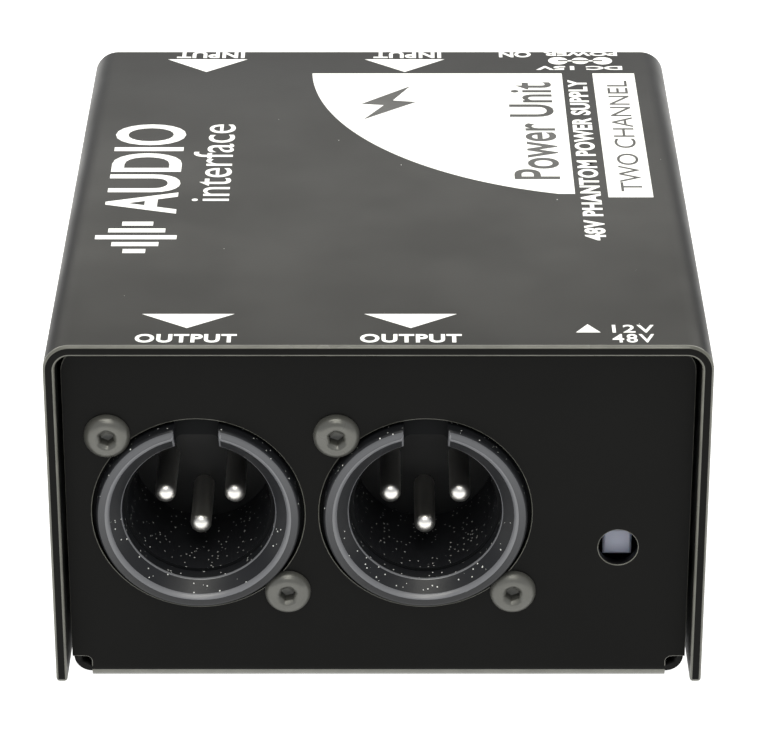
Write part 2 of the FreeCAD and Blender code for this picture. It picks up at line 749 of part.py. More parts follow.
def make_selector_spring():
    """Coil between the plunger's shoulder and the back of the body."""
    front_y = selector_body_front_y
    start_y = front_y + selector_wall + shoulder_length + 2 * return_wire_radius
    end_y = front_y + selector_body_length - selector_wall - 2 * return_wire_radius
    height = end_y - start_y
    helix = Part.makeHelix(height / return_turns, height, return_coil_radius)
    circle = Part.Wire(Part.Edge(Part.Circle(V(return_coil_radius, 0, 0), Y_AXIS, return_wire_radius)))
    coil = Part.Wire(helix).makePipeShell([circle], True, True)
    coil.rotate(V(0, 0, 0), X_AXIS, -90)
    coil.translate(V(selector_x, start_y, plunger_z))
    return coil


def make_selector_terminals():
    half = terminal_side / 2
    middle_y = selector_body_front_y + selector_body_length / 2
    terminals = []
    for side in (-1, 1):
        for step in (-1, 0, 1):
            x = selector_x + side * terminal_row_half_gap
            y = middle_y + step * terminal_pitch
            terminals.append(block(x - half, x + half, y - half, y + half, tail_bottom_z, board_top_z))
    return group(terminals)


# ---- power inlet and lamp -----------------------------------------------------------------------
def make_inlet_housing():
    half = inlet_body_width / 2
    body = block(inlet_x - half, inlet_x + half, panel_back_y - inlet_body_length,
                 panel_back_y - inlet_body_gap, board_top_z, board_top_z + inlet_body_height)
    body = body.makeFillet(inlet_body_corner, edges_along(body, Y_AXIS, lambda p: p.z > inlet_z))
    nose = rod(inlet_nose_radius, V(inlet_x, panel_back_y - inlet_nose_root, inlet_z), Y_AXIS,
               inlet_nose_root + chassis_sheet)
    bore = rod(inlet_bore_radius, V(inlet_x, panel_y + margin, inlet_z), Y_AXIS * -1,
               inlet_bore_depth + margin)
    pin_hole = rod(inlet_pin_radius, V(inlet_x, panel_y, inlet_z), Y_AXIS * -1,
                   inlet_bore_depth + inlet_pin_root)
    return cut_all(body.fuse(nose), [bore, pin_hole, make_inlet_contact()]).removeSplitter()


def make_inlet_pin():
    face = panel_y - inlet_pin_set_back
    length = inlet_bore_depth + inlet_pin_root - inlet_pin_set_back
    pin = rod(inlet_pin_radius, V(inlet_x, face, inlet_z), Y_AXIS * -1, length)
    return pin.makeFillet(inlet_pin_edge, [e for e in pin.Edges if e.CenterOfMass.y > face - inlet_pin_edge])


def make_inlet_contact():
    """Strip at the side of the bore that touches the outside of the plug."""
    left = inlet_x - inlet_bore_radius - inlet_contact_thickness / 2
    back_y = panel_y - inlet_bore_depth + inlet_contact_start
    low = inlet_z - inlet_contact_width / 2
    return block(left, left + inlet_contact_thickness, back_y, back_y + inlet_contact_length, low,
                 low + inlet_contact_width)


def make_lamp():
    face = panel_y + lamp_proud
    body = rod(lamp_radius, V(lamp_x, face, lamp_z), Y_AXIS * -1, lamp_length)
    body = body.makeFillet(lamp_dome, [e for e in body.Edges if e.CenterOfMass.y > face - lamp_clearance])
    collar = rod(lamp_collar_radius, V(lamp_x, panel_back_y, lamp_z), Y_AXIS * -1, lamp_collar_thickness)
    return body.fuse(collar).removeSplitter()


def make_lamp_leads():
    back = panel_y + lamp_proud - lamp_length
    bend = back - lamp_lead_run
    half = lamp_lead_side / 2
    leads = []
    for side in (-1, 1):
        x = lamp_x + side * lamp_lead_half_gap
        run = block(x - half, x + half, bend, back, lamp_z - half, lamp_z + half)
        drop = block(x - half, x + half, bend, bend + lamp_lead_side, tail_bottom_z, lamp_z + half)
        leads.append(run.fuse(drop).removeSplitter())
    return group(leads)


# ---- circuit board and what stands on it --------------------------------------------------------
def make_board(tails):
    board = rounded_block(-board_half_width, board_half_width, -board_half_length, board_half_length,
                          board_bottom_z, board_top_z, board_corner, Z_AXIS)
    for facing in (-1, 1):
        y_in = facing * (panel_y - fixing_length - screw_room)
        y_out = facing * (board_half_length + margin)
        half = ear_width / 2 + ear_room
        for x in connector_x.values():
            board = board.cut(block(x - half, x + half, min(y_in, y_out), max(y_in, y_out),
                                    board_bottom_z - margin, board_top_z + margin))
    for tail in tails:
        box = tail.BoundBox
        centre = V((box.XMin + box.XMax) / 2, (box.YMin + box.YMax) / 2, board_bottom_z - margin)
        board = board.cut(rod(plated_hole_radius, centre, Z_AXIS, board_thickness + 2 * margin))
    for x, y in standoff_places:
        board = board.cut(rod(m3_clearance_radius, V(x, y, board_bottom_z - margin), Z_AXIS,
                              board_thickness + 2 * margin))
    return board


def tail_slices(shapes):
    """The part of every lead that passes through the board."""
    slab = block(-half_width, half_width, -half_depth, half_depth, board_bottom_z, board_top_z)
    slices = []
    for shape in shapes:
        slices += shape.common(slab).Solids
    return slices


def make_standoffs():
    posts = []
    for x, y in standoff_places:
        post = hex_prism(standoff_flat, V(x, y, floor_z), Z_AXIS, board_bottom_z - floor_z)
        posts.append(post.cut(rod(m3_radius, V(x, y, floor_z - margin), Z_AXIS, drill_length)))
    return group(posts)


def make_board_screws():
    """Pan-head screws that go down through the board into the standoffs."""
    screws = []
    for x, y in standoff_places:
        head = rod(board_screw_head_radius, V(x, y, board_top_z), Z_AXIS, board_screw_head_height)
        top_edges = [e for e in head.Edges if e.CenterOfMass.z > board_top_z + board_screw_edge]
        head = head.makeFillet(board_screw_edge, top_edges)
        shank = rod(m3_radius, V(x, y, board_top_z), Z_AXIS * -1, board_screw_length)
        low = board_top_z + board_screw_head_height - cross_depth
        high = board_top_z + board_screw_head_height + margin
        long, narrow = cross_length / 2, cross_width / 2
        slot = block(x - long, x + long, y - narrow, y + narrow, low, high)
        cross = block(x - narrow, x + narrow, y - long, y + long, low, high)
        screws.append(head.fuse(shank).cut(slot).cut(cross).removeSplitter())
    return group(screws)


def can_capacitor(x, y, radius, height):
    can = rod(radius, V(x, y, board_top_z + component_lift), Z_AXIS, height)
    return can.makeFillet(can_edge, [e for e in can.Edges if isinstance(e.Curve, Part.Circle)])


def make_reservoir_capacitors():
    return group([can_capacitor(x, y, reservoir_radius, reservoir_height) for x, y in reservoir_places])


def make_output_capacitors():
    return group([can_capacitor(x, y, output_can_radius, output_can_height) for x, y in output_can_places])


def make_inductor():
    """Drum inductor of the step-up converter: two flanges and the winding between them as one outline."""
    x, y = inductor_place
    winding_z = board_top_z + inductor_flange
    base = rod(inductor_radius, V(x, y, board_top_z), Z_AXIS, inductor_flange)
    winding = rod(winding_radius, V(x, y, winding_z), Z_AXIS, winding_height)
    cap = rod(inductor_radius, V(x, y, winding_z + winding_height), Z_AXIS, inductor_flange)
    return base.fuse([winding, cap]).removeSplitter()


def make_converter_chip():
    x, y = chip_place
    low = board_top_z + chip_lift
    body = block(x - chip_length / 2, x + chip_length / 2, y - chip_width / 2, y + chip_width / 2, low,
                 low + chip_height)
    half = chip_foot_side / 2
    feet = []
    for number in range(chip_feet_per_side):
        foot_x = x + chip_foot_pitch * (number - (chip_feet_per_side - 1) / 2)
        for side in (-1, 1):
            y_in = y + side * chip_width / 2
            y_out = y_in + side * chip_foot_reach
            feet.append(block(foot_x - half, foot_x + half, min(y_in, y_out), max(y_in, y_out),
                              board_top_z, board_top_z + chip_foot_height))
    return body.fuse(feet).removeSplitter()


def axial_part(middle, along, radius, length, lead_radius, span):
    """A round body with one straight lead through it, bent down to the board at both ends."""
    body = rod(radius, middle - along * (length / 2), along, length)
    lead = rod(lead_radius, middle - along * (span / 2), along, span)
    drops = []
    for side in (-1, 1):
        end = middle + along * (side * span / 2)
        drops.append(rod(lead_radius, V(end.x, end.y, board_top_z), Z_AXIS, middle.z - board_top_z))
    return body.fuse([lead] + drops).removeSplitter()


def make_feed_resistors():
    """Axial resistors, one for each signal leg."""
    resistors = []
    for number in range(resistor_count):
        middle = V(resistor_first_x + resistor_pitch * number, 0, board_top_z + resistor_lift)
        resistors.append(axial_part(middle, Y_AXIS, resistor_radius, resistor_length,
                                    resistor_lead_radius, resistor_lead_span))
    return group(resistors)


def make_diode():
    middle = V(diode_place[0], diode_place[1], board_top_z + diode_lift)
    return axial_part(middle, X_AXIS, diode_radius, diode_length, diode_lead_radius, diode_lead_span)


# ---- the whole box ------------------------------------------------------------------------------
def main():
    save("outer_cover", make_cover())
    save("inner_chassis", make_chassis())
    save("bottom_pad", make_pad())
    save("cover_screws", make_cover_screws())
    save("clinch_nuts", make_clinch_nuts())
    leads = []
    for number, x in connector_x.items():
        pins = make_output_pins(x)
        leads.append(pins)
        save("output_" + number + "_housing", make_output_housing(x))
        save("output_" + number + "_pins", pins)
        save("output_" + number + "_pin_carrier", make_output_carrier(x, pins))
        sleeves = contact_sleeves(x)
        leads.append(sleeves)
        save("input_" + number + "_housing", make_input_housing(x))
        save("input_" + number + "_contacts", sleeves)
        save("input_" + number + "_socket_insert", make_socket_insert(x, sleeves))
        save("input_" + number + "_latch", make_latch(x))
        save("input_" + number + "_latch_pin", make_latch_pin(x))
        save("input_" + number + "_latch_spring", make_latch_spring(x))
    save("output_screws", make_button_screws(-1))
    save("input_screws", make_button_screws(1))
    terminals = make_selector_terminals()
    lamp_leads = make_lamp_leads()
    leads += [terminals, lamp_leads]
    save("selector_plunger", make_plunger())
    save("selector_body", make_selector_body())
    save("selector_spring", make_selector_spring())
    save("selector_terminals", terminals)
    save("power_inlet_housing", make_inlet_housing())
    save("power_inlet_pin", make_inlet_pin())
    save("power_inlet_contact", make_inlet_contact())
    save("power_lamp", make_lamp())
    save("power_lamp_leads", lamp_leads)
    save("main_board", make_board(tail_slices(leads)))
    save("board_standoffs", make_standoffs())
    save("board_screws", make_board_screws())
    save("reservoir_capacitors", make_reservoir_capacitors())
    save("output_capacitors", make_output_capacitors())
    save("storage_inductor", make_inductor())
    save("converter_chip", make_converter_chip())
    save("feed_resistors", make_feed_resistors())
    save("rectifier_diode", make_diode())


main()
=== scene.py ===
# %% [markdown]
# # A small phantom power box
#
# The object is a stage accessory: a steel box, about as big as a fist, that feeds 48 volts to two
# microphones. The CAD model already holds every piece at its real size and place.
# This lesson loads it as a fixed frame, gives each visible piece softer edges or a more detailed mesh,
# and dresses everything in finishes that are built from nodes.

# %% Load the frame
import json
from math import cos, pi, radians, sin, sqrt

import bmesh
import bpy
from mathutils import Matrix, Vector


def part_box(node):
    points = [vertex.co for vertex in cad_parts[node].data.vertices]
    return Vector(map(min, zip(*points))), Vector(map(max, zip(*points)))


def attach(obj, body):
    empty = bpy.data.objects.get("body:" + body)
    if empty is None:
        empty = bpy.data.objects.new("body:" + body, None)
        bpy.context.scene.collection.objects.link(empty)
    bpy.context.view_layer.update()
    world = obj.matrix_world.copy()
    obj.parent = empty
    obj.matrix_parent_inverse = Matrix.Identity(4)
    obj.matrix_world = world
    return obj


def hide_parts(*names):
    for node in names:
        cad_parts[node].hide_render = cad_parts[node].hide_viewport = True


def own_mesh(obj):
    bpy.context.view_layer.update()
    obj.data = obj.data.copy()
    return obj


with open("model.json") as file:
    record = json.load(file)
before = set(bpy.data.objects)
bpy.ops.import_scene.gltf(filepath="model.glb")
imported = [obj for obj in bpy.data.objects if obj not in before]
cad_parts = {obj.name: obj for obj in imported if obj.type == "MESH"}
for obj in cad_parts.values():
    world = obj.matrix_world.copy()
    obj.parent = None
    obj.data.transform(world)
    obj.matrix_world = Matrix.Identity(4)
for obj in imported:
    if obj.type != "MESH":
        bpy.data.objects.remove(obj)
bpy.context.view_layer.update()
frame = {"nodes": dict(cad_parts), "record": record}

# %% [markdown]
# The camera comes first, because it decides what is worth detailing. A long lens from half a metre away
# looks down on the output side by about 26 degrees, straight along the box. A short lens could frame the
# same view, but it would spread the panel's corners far more than this one does.
# Everything that is made is put into the scene by one small helper.

# %% Set up the camera
mm = 0.001


def in_scene(name, data):
    obj = bpy.data.objects.new(name, data)
    bpy.context.scene.collection.objects.link(obj)
    return obj


camera_data = bpy.data.cameras.new("portrait_camera")
camera_data.sensor_width = 36.0
camera_data.lens = 176.55
camera_data.clip_start = 10 * mm
camera = in_scene("portrait_camera", camera_data)
camera.location = Vector((0.61, -409.85, 225.82)) * mm
camera.rotation_euler = (radians(63.49), 0.0, 0.0)
bpy.context.scene.camera = camera
print("camera distance:", round(camera.location.length / mm), "mm")

# %% [markdown]
# Every finish below is a small graph of shader nodes, and every repeated piece is a graph of geometry nodes.
# One helper adds a node to either kind of graph. Node properties are keyword arguments. Sockets are given
# by name or by number, and a socket may take a plain value or the output of another node.

# %% Add a node with its settings and links
def add(tree, kind, sockets=None, **settings):
    node = tree.nodes.new(kind)
    for name, value in settings.items():
        setattr(node, name, value)
    for socket, value in (sockets or {}).items():
        if isinstance(value, bpy.types.NodeSocket):
            tree.links.new(value, node.inputs[socket])
        else:
            node.inputs[socket].default_value = value
    return node


# %% [markdown]
# Colours are picked as sRGB hex codes, as on a paint card, but Blender mixes light in linear values.
# One function turns the code into linear red, green, blue and alpha.

# %% Turn a hex colour into linear values
def linear(code):
    channels = [int(code[place:place + 2], 16) / 255 for place in (1, 3, 5)]
    return [c / 12.92 if c <= 0.04045 else ((c + 0.055) / 1.055) ** 2.4 for c in channels] + [1.0]


print("near-black #161616:", [round(c, 4) for c in linear("#161616")])


# %% [markdown]
# A finish starts as one shader with the values of the real material: colour, roughness and whether it is a
# metal. Values that are the same all over the surface stay on the shader's own sockets.

# %% Start a finish
def finish(name, colour, roughness, **more):
    material = bpy.data.materials.new(name)
    material.use_nodes = True
    shader = material.node_tree.nodes["Principled BSDF"]
    shader.inputs["Base Color"].default_value = linear(colour)
    shader.inputs["Roughness"].default_value = roughness
    for socket, value in more.items():
        shader.inputs[socket.replace("_", " ")].default_value = value
    material.diffuse_color = linear(colour)
    print(f"finish {name}: {colour}, roughness {roughness}")
    return material


# %% [markdown]
# No real surface is perfectly smooth or evenly glossy. Grain adds a relief of a real size and depth, in
# millimetres, and lets the gloss drift between two values in patches forty grains across.
# It reads the object's own coordinates, so the pattern stays with the piece when it moves.

# %% Give a finish its grain
grains_to_a_patch = 40
noise_low, noise_high = 0.35, 0.65


def grain(material, size, depth, matt, gloss, detail=2.0):
    tree = material.node_tree
    shader = tree.nodes["Principled BSDF"]
    place = add(tree, "ShaderNodeTexCoord").outputs["Object"]
    relief = add(tree, "ShaderNodeTexNoise", {"Vector": place, "Scale": 1 / (size * mm), "Detail": detail})
    bump = add(tree, "ShaderNodeBump",
               {"Height": relief.outputs["Fac"], "Distance": depth * mm, "Strength": 1.0})
    patches = add(tree, "ShaderNodeTexNoise",
                  {"Vector": place, "Scale": 1 / (grains_to_a_patch * size * mm), "Detail": 3.0})
    drift = add(tree, "ShaderNodeMapRange",
                {"Value": patches.outputs["Fac"], "From Min": noise_low, "From Max": noise_high,
                 "To Min": gloss, "To Max": matt})
    tree.links.new(drift.outputs["Result"], shader.inputs["Roughness"])
    tree.links.new(bump.outputs["Normal"], shader.inputs["Normal"])


# %% [markdown]
# Most finishes also drift in colour: paint lies thicker in one place, plastic flows in another.
# Two close colours are blended by a soft pattern whose patches have a real size.

# %% Let a colour drift
def drift_colour(material, other, size):
    tree = material.node_tree
    shader = tree.nodes["Principled BSDF"]
    place = add(tree, "ShaderNodeTexCoord").outputs["Object"]
    cloud = add(tree, "ShaderNodeTexNoise",
                {"Vector": place, "Scale": 1 / (size * mm), "Detail": 4.0, "Roughness": 0.6})
    first = list(shader.inputs["Base Color"].default_value)
    blend = add(tree, "ShaderNodeMix",
                {0: cloud.outputs["Fac"], 6: first, 7: linear(other)}, data_type="RGBA")
    tree.links.new(blend.outputs[2], shader.inputs["Base Color"])


# %% [markdown]
# Dust settles on whatever faces up and shows as pale specks on black. A Voronoi pattern gives every cell
# one spot: the spot's size is a share of the cell, and a second limit drops some of the cells, so that the
# specks are scattered. Dust comes last, over a colour that already drifts.

# %% Settle some dust
facing_up = 0.05


def dust(material, spacing, size, share, colour="#d6d7d3"):
    tree = material.node_tree
    shader = tree.nodes["Principled BSDF"]
    place = add(tree, "ShaderNodeTexCoord").outputs["Object"]
    cells = add(tree, "ShaderNodeTexVoronoi", {"Vector": place, "Scale": 1 / (spacing * mm)})
    spot = add(tree, "ShaderNodeMath",
               {0: cells.outputs["Distance"], 1: size / spacing}, operation="LESS_THAN")
    tint = add(tree, "ShaderNodeSeparateColor", {"Color": cells.outputs["Color"]})
    kept = add(tree, "ShaderNodeMath", {0: tint.outputs["Red"], 1: share}, operation="LESS_THAN")
    surface = add(tree, "ShaderNodeNewGeometry")
    facing = add(tree, "ShaderNodeSeparateXYZ", {"Vector": surface.outputs["Normal"]})
    lying = add(tree, "ShaderNodeMath", {0: facing.outputs["Z"], 1: facing_up}, operation="GREATER_THAN")
    settles = add(tree, "ShaderNodeMath", {0: kept.outputs[0], 1: lying.outputs[0]}, operation="MULTIPLY")
    speck = add(tree, "ShaderNodeMath", {0: spot.outputs[0], 1: settles.outputs[0]}, operation="MULTIPLY")
    blend = add(tree, "ShaderNodeMix", {0: speck.outputs[0], 7: linear(colour)}, data_type="RGBA")
    tree.links.new(shader.inputs["Base Color"].links[0].from_socket, blend.inputs[6])
    tree.links.new(blend.outputs[2], shader.inputs["Base Color"])


# %% [markdown]
# A Bevel modifier rounds edges: it is told how wide the round is, how many strips make it, and how sharp an
# edge must be to get one. A modifier's result exists only on the evaluated object. Reading it back as a
# plain mesh applies them all at once, and the object that carried them is no longer needed.

# %% Round edges and apply modifiers
def rounded(obj, title, width, steps, sharper_than):
    bevel = obj.modifiers.new(title, "BEVEL")
    bevel.width = width
    bevel.segments = steps
    bevel.limit_method = "ANGLE"
    bevel.angle_limit = sharper_than
    return bevel


def settled(obj):
    bpy.context.view_layer.update()
    graph = bpy.context.evaluated_depsgraph_get()
    mesh = bpy.data.meshes.new_from_object(obj.evaluated_get(graph))
    bpy.data.objects.remove(obj)
    return mesh


# %% [markdown]
# A moulding or a folded sheet is caught by the light at its edges, so razor-sharp CAD edges look wrong.
# A visible node can be modelled again from nothing, or its CAD mesh can be copied and its edges rounded.
# Copying keeps every hole and slot exactly where the CAD has it, so most pieces are made that way: the
# loose triangles are merged, flat areas become single faces, and what is sharp is rounded. Weighted normals
# then keep the flat areas flat to the eye. Two things are optional. share is a rule that says for any point
# how much of the full width an edge there gets, from 0 to 1. The other is a second, paler finish for the
# rounded strips only, a painted highlight for the light that an edge catches, and its strips may run into
# each other.

# %% Copy a CAD node with softer edges
sharp_corner = radians(32)
weld_gap = 0.002 * mm
still_flat = radians(0.6)


def softened(node, edge, steps=2, highlight_finish=None, share=None):
    mesh = frame["nodes"][node].data.copy()
    form = bmesh.new()
    form.from_mesh(mesh)
    bmesh.ops.remove_doubles(form, verts=form.verts, dist=weld_gap)
    bmesh.ops.dissolve_limit(form, angle_limit=still_flat, verts=form.verts, edges=form.edges)
    if share:
        weight = form.edges.layers.float.new("bevel_weight_edge")
        for side in form.edges:
            if side.calc_face_angle(0) > sharp_corner:
                side[weight] = min(share(end.co) for end in side.verts)
    form.to_mesh(mesh)
    form.free()
    for leftover in ("custom_normal", "sharp_edge", "sharp_face"):
        if leftover in mesh.attributes:
            mesh.attributes.remove(mesh.attributes[leftover])
    mesh.shade_smooth()
    piece = in_scene(node + "_copy", mesh)
    bevel = rounded(piece, "rounded edges", edge * mm, steps, sharp_corner)
    if share:
        bevel.limit_method = "WEIGHT"
    if highlight_finish:
        mesh.materials.append(highlight_finish)
        bevel.material = 1
        bevel.use_clamp_overlap = False
    flatness = piece.modifiers.new("flat areas stay flat", "WEIGHTED_NORMAL")
    flatness.weight = 60
    return settled(piece)


# %% [markdown]
# A finished piece is put into the scene in one place: it gets its finish and the body it rides on, and the
# CAD node that it stands for is hidden. The body is looked up from the record, so nothing is written twice.

# %% Put a finished piece in place
body_of = {node: body for body, nodes in frame["record"]["behaviour"]["bodies"].items() for node in nodes}


def dress(name, mesh, material, slot, *nodes):
    if not mesh.materials:
        mesh.materials.append(material)
    mesh.materials[0] = material
    piece = in_scene(name, mesh)
    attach(piece, body_of[nodes[0]] if nodes else "case")
    if nodes:
        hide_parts(*nodes)
    print(f"{name}: {len(mesh.polygons)} faces")
    return piece


# %% [markdown]
# ## The steel cover
#
# Powder coat is paint sprayed as dry powder and melted on. The eye reads it as black with a satin sheen,
# a faint orange-peel ripple and slightly uneven gloss. Its peel is about a third of a millimetre across.
# The gloss rises sharply at grazing angles, which is why a black box can have a pale-looking top.

# %% Mix the powder coat
coated_steel = finish("powder_coated_steel", "#0c0c0b", 0.36, Specular_IOR_Level=0.07)
grain(coated_steel, size=0.35, depth=0.004, matt=0.40, gloss=0.33)
drift_colour(coated_steel, "#121211", size=14)
dust(coated_steel, spacing=2.6, size=0.07, share=0.25)

# %% [markdown]
# On a cut edge the molten powder pulls back, so the coat is thinner there, and hands and bags polish it.
# The edges get a lighter, glossier mix of the same coat, far lighter than thin coat alone would be: mostly it
# is a painted highlight, the line of light that a rounded edge catches.

# %% Mix the coat's paler edge finish, a painted highlight
coat_edge_highlight = finish("powder_coat_worn_edge", "#74746b", 0.3, Specular_IOR_Level=0.5)
grain(coat_edge_highlight, size=0.35, depth=0.003, matt=0.36, gloss=0.24)
drift_colour(coat_edge_highlight, "#46463f", size=3)

# %% [markdown]
# The cover is one steel sheet, folded twice into a U and set over the chassis like a book-end.
# It could be a cube with two sides deleted and a Solidify modifier, but then its bends have no radius.
# A press brake works by a rule: one line, rounded at the corners, carried through the depth of the sheet.
# Geometry nodes state that rule directly: a line through four points, a fillet for the bends,
# and a thin rounded rectangle swept along it, whose own rounding gives the rim its soft edge.

# %% Write the folding rule
bend_steps = 16
edge_steps = 5


def give_inputs(tree, kind, *names):
    for name in names:
        tree.interface.new_socket(name, in_out="INPUT", socket_type="NodeSocket" + kind)


def folded_sheet():
    tree = bpy.data.node_groups.new("folded_sheet", "GeometryNodeTree")
    give_inputs(tree, "Float", "Width", "Depth", "Top", "Foot", "Sheet", "Bend", "Edge")
    give_inputs(tree, "Material", "Metal")
    tree.interface.new_socket("Sheet metal", in_out="OUTPUT", socket_type="NodeSocketGeometry")
    given = add(tree, "NodeGroupInput").outputs
    middle = add(tree, "ShaderNodeMath",
                 {0: given["Width"], 1: given["Sheet"]}, operation="SUBTRACT").outputs[0]
    right = add(tree, "ShaderNodeMath", {0: middle, 1: 0.5}, operation="MULTIPLY").outputs[0]
    left = add(tree, "ShaderNodeMath", {0: middle, 1: -0.5}, operation="MULTIPLY").outputs[0]
    ridge = add(tree, "ShaderNodeMath", {0: given["Sheet"], 1: -0.5, 2: given["Top"]},
                operation="MULTIPLY_ADD").outputs[0]
    middle_bend = add(tree, "ShaderNodeMath", {0: given["Sheet"], 1: -0.5, 2: given["Bend"]},
                      operation="MULTIPLY_ADD").outputs[0]
    corners = [add(tree, "ShaderNodeCombineXYZ", {"X": x, "Y": y}).outputs[0]
               for x, y in ((left, given["Foot"]), (left, ridge), (right, ridge), (right, given["Foot"]))]
    line = add(tree, "GeometryNodeCurvePrimitiveQuadrilateral",
               {f"Point {number}": corner for number, corner in enumerate(corners, 1)}, mode="POINTS")
    opened = add(tree, "GeometryNodeSetSplineCyclic", {"Geometry": line.outputs[0], "Cyclic": False})
    bent = add(tree, "GeometryNodeFilletCurve",
               {"Curve": opened.outputs[0], "Radius": middle_bend, "Count": bend_steps}, mode="POLY")
    section = add(tree, "GeometryNodeCurvePrimitiveQuadrilateral",
                  {"Width": given["Sheet"], "Height": given["Depth"]}, mode="RECTANGLE")
    eased = add(tree, "GeometryNodeFilletCurve",
                {"Curve": section.outputs[0], "Radius": given["Edge"], "Count": edge_steps}, mode="POLY")
    swept = add(tree, "GeometryNodeCurveToMesh",
                {"Curve": bent.outputs[0], "Profile Curve": eased.outputs[0], "Fill Caps": True})
    upright = add(tree, "GeometryNodeTransform",
                  {"Geometry": swept.outputs[0], "Rotation": (pi / 2, 0.0, 0.0)})
    plain = add(tree, "GeometryNodeRealizeInstances", {"Geometry": upright.outputs[0]})
    dressed = add(tree, "GeometryNodeSetMaterial", {"Geometry": plain.outputs[0], "Material": given["Metal"]})
    add(tree, "NodeGroupOutput", {0: dressed.outputs[0]})
    return tree


# %% [markdown]
# The tree's inputs are set on a modifier by each socket's identifier, and only then is the object evaluated.

# %% Run a geometry nodes tree on a mesh
def grown(tree, start, **inputs):
    holder = in_scene(tree.name + "_holder", start)
    modifier = holder.modifiers.new(tree.name, "NODES")
    modifier.node_group = tree
    for item in tree.interface.items_tree:
        if item.in_out == "INPUT" and item.name in inputs:
            modifier[item.identifier] = inputs[item.name]
    holder.update_tag()
    bpy.context.view_layer.update()
    return holder


# %% [markdown]
# The sheet's outer sizes are the CAD node's own box. The steel stops a hair below the box's top,
# which leaves room for the ink that is printed on it.

# %% Fold the cover
cover_low, cover_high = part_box("outer_cover")
ink_room = 0.03 * mm
cover_top = cover_high.z - ink_room
cover_sheet = 1.3 * mm
cover_bend = 3.0 * mm
rim_edge = 0.4 * mm
cover = grown(folded_sheet(), bpy.data.meshes.new("cover_start"), Width=cover_high.x - cover_low.x,
              Depth=cover_high.y - cover_low.y, Top=cover_top, Foot=cover_low.z, Sheet=cover_sheet,
              Bend=cover_bend, Edge=rim_edge, Metal=coated_steel)
print("cover", [round(side / mm, 1) for side in cover_high - cover_low], "mm")

# %% [markdown]
# ## Turned shapes
#
# Screws, pins and punched holes are all stacks of rings: round on the outside, sometimes hexagonal inside.
# A Screw modifier could spin a profile, but it can't turn a circle into a hexagon on the way.
# This helper joins one ring to the next with quads. Each ring has a radius, a height, and may be a hexagon,
# whose radius is measured to its flats.

# %% Loft a stack of rings
def ring_radius(radius, angle, hexagon):
    if not hexagon:
        return radius
    return radius / cos((angle + pi / 6) % (pi / 3) - pi / 6)


def turned(name, rings, sides=48):
    form = bmesh.new()
    loops = []
    angles = [2 * pi * step / sides for step in range(sides)]
    for radius, height, *hexagon in rings:
        reaches = [ring_radius(radius, angle, hexagon) for angle in angles]
        loops.append([form.verts.new((reach * cos(angle) * mm, reach * sin(angle) * mm, height * mm))
                      for reach, angle in zip(reaches, angles)])
    for lower, upper in zip(loops, loops[1:]):
        for step in range(sides):
            after = (step + 1) % sides
            form.faces.new((lower[step], lower[after], upper[after], upper[step]))
    form.faces.new(reversed(loops[0]))
    form.faces.new(loops[-1])
    bmesh.ops.recalc_face_normals(form, faces=form.faces)
    mesh = bpy.data.meshes.new(name)
    form.to_mesh(mesh)
    form.free()
    mesh.shade_smooth()
    mesh.set_sharp_from_angle(angle=radians(38))
    return mesh


# %% [markdown]
# Fasteners sit where the design says and face one way each. A short tree puts a copy on every point, turns
# it to face along a stored direction and spins it by a random angle, because nobody lines up the sockets
# of four screws. The seed is fixed, so the spin is the same each time.

# %% Write the rule for fasteners on points
def fasteners_on_points():
    tree = bpy.data.node_groups.new("fasteners_on_points", "GeometryNodeTree")
    give_inputs(tree, "Geometry", "Places")
    give_inputs(tree, "Object", "Fastener")
    give_inputs(tree, "Float", "Spin")
    give_inputs(tree, "Int", "Seed")
    give_inputs(tree, "Material", "Metal")
    tree.interface.new_socket("Fasteners", in_out="OUTPUT", socket_type="NodeSocketGeometry")
    given = add(tree, "NodeGroupInput").outputs
    shape = add(tree, "GeometryNodeObjectInfo", {"Object": given["Fastener"]}, transform_space="ORIGINAL")
    facing = add(tree, "GeometryNodeInputNamedAttribute", {"Name": "facing"}, data_type="FLOAT_VECTOR")
    aimed = add(tree, "FunctionNodeAlignRotationToVector", {"Vector": facing.outputs["Attribute"]}, axis="Z")
    spin = add(tree, "FunctionNodeRandomValue",
               {"Min": 0.0, "Max": 1.0, "Seed": given["Seed"]}, data_type="FLOAT")
    angle = add(tree, "ShaderNodeMath", {0: spin.outputs[1], 1: given["Spin"]}, operation="MULTIPLY")
    spun = add(tree, "FunctionNodeAxisAngleToRotation", {"Axis": (0.0, 0.0, 1.0), "Angle": angle.outputs[0]})
    turned_to = add(tree, "FunctionNodeRotateRotation",
                    {"Rotation": aimed.outputs[0], "Rotate By": spun.outputs[0]}, rotation_space="LOCAL")
    copies = add(tree, "GeometryNodeInstanceOnPoints",
                 {"Points": given["Places"], "Instance": shape.outputs["Geometry"],
                  "Rotation": turned_to.outputs[0]})
    plain = add(tree, "GeometryNodeRealizeInstances", {"Geometry": copies.outputs[0]})
    dressed = add(tree, "GeometryNodeSetMaterial", {"Geometry": plain.outputs[0], "Material": given["Metal"]})
    add(tree, "NodeGroupOutput", {0: dressed.outputs[0]})
    return tree


fastener_rule = fasteners_on_points()


# %% [markdown]
# The tree works on a mesh of loose points. Each point stores which way its fastener faces, as an attribute
# that the tree looks up by name. The shape itself is handed over as an object, which is removed again.

# %% Put a turned shape on its places
def placed(shape, places, material, spin=0.0, seed=1):
    points = bpy.data.meshes.new(shape.name + "_places")
    points.from_pydata([place for place, direction in places], [], [])
    facing = points.attributes.new("facing", "FLOAT_VECTOR", "POINT")
    facing.data.foreach_set("vector", [part for place, direction in places for part in direction])
    pattern = in_scene(shape.name + "_pattern", shape)
    mesh = settled(grown(fastener_rule, points, Fastener=pattern, Spin=spin, Seed=seed, Metal=material))
    bpy.data.objects.remove(pattern)
    return mesh


# %% [markdown]
# The cover is held by two countersunk screws in each wall, near the foot.
# Their places come from the CAD node of the screws: its box gives how far apart the outermost ones stand.

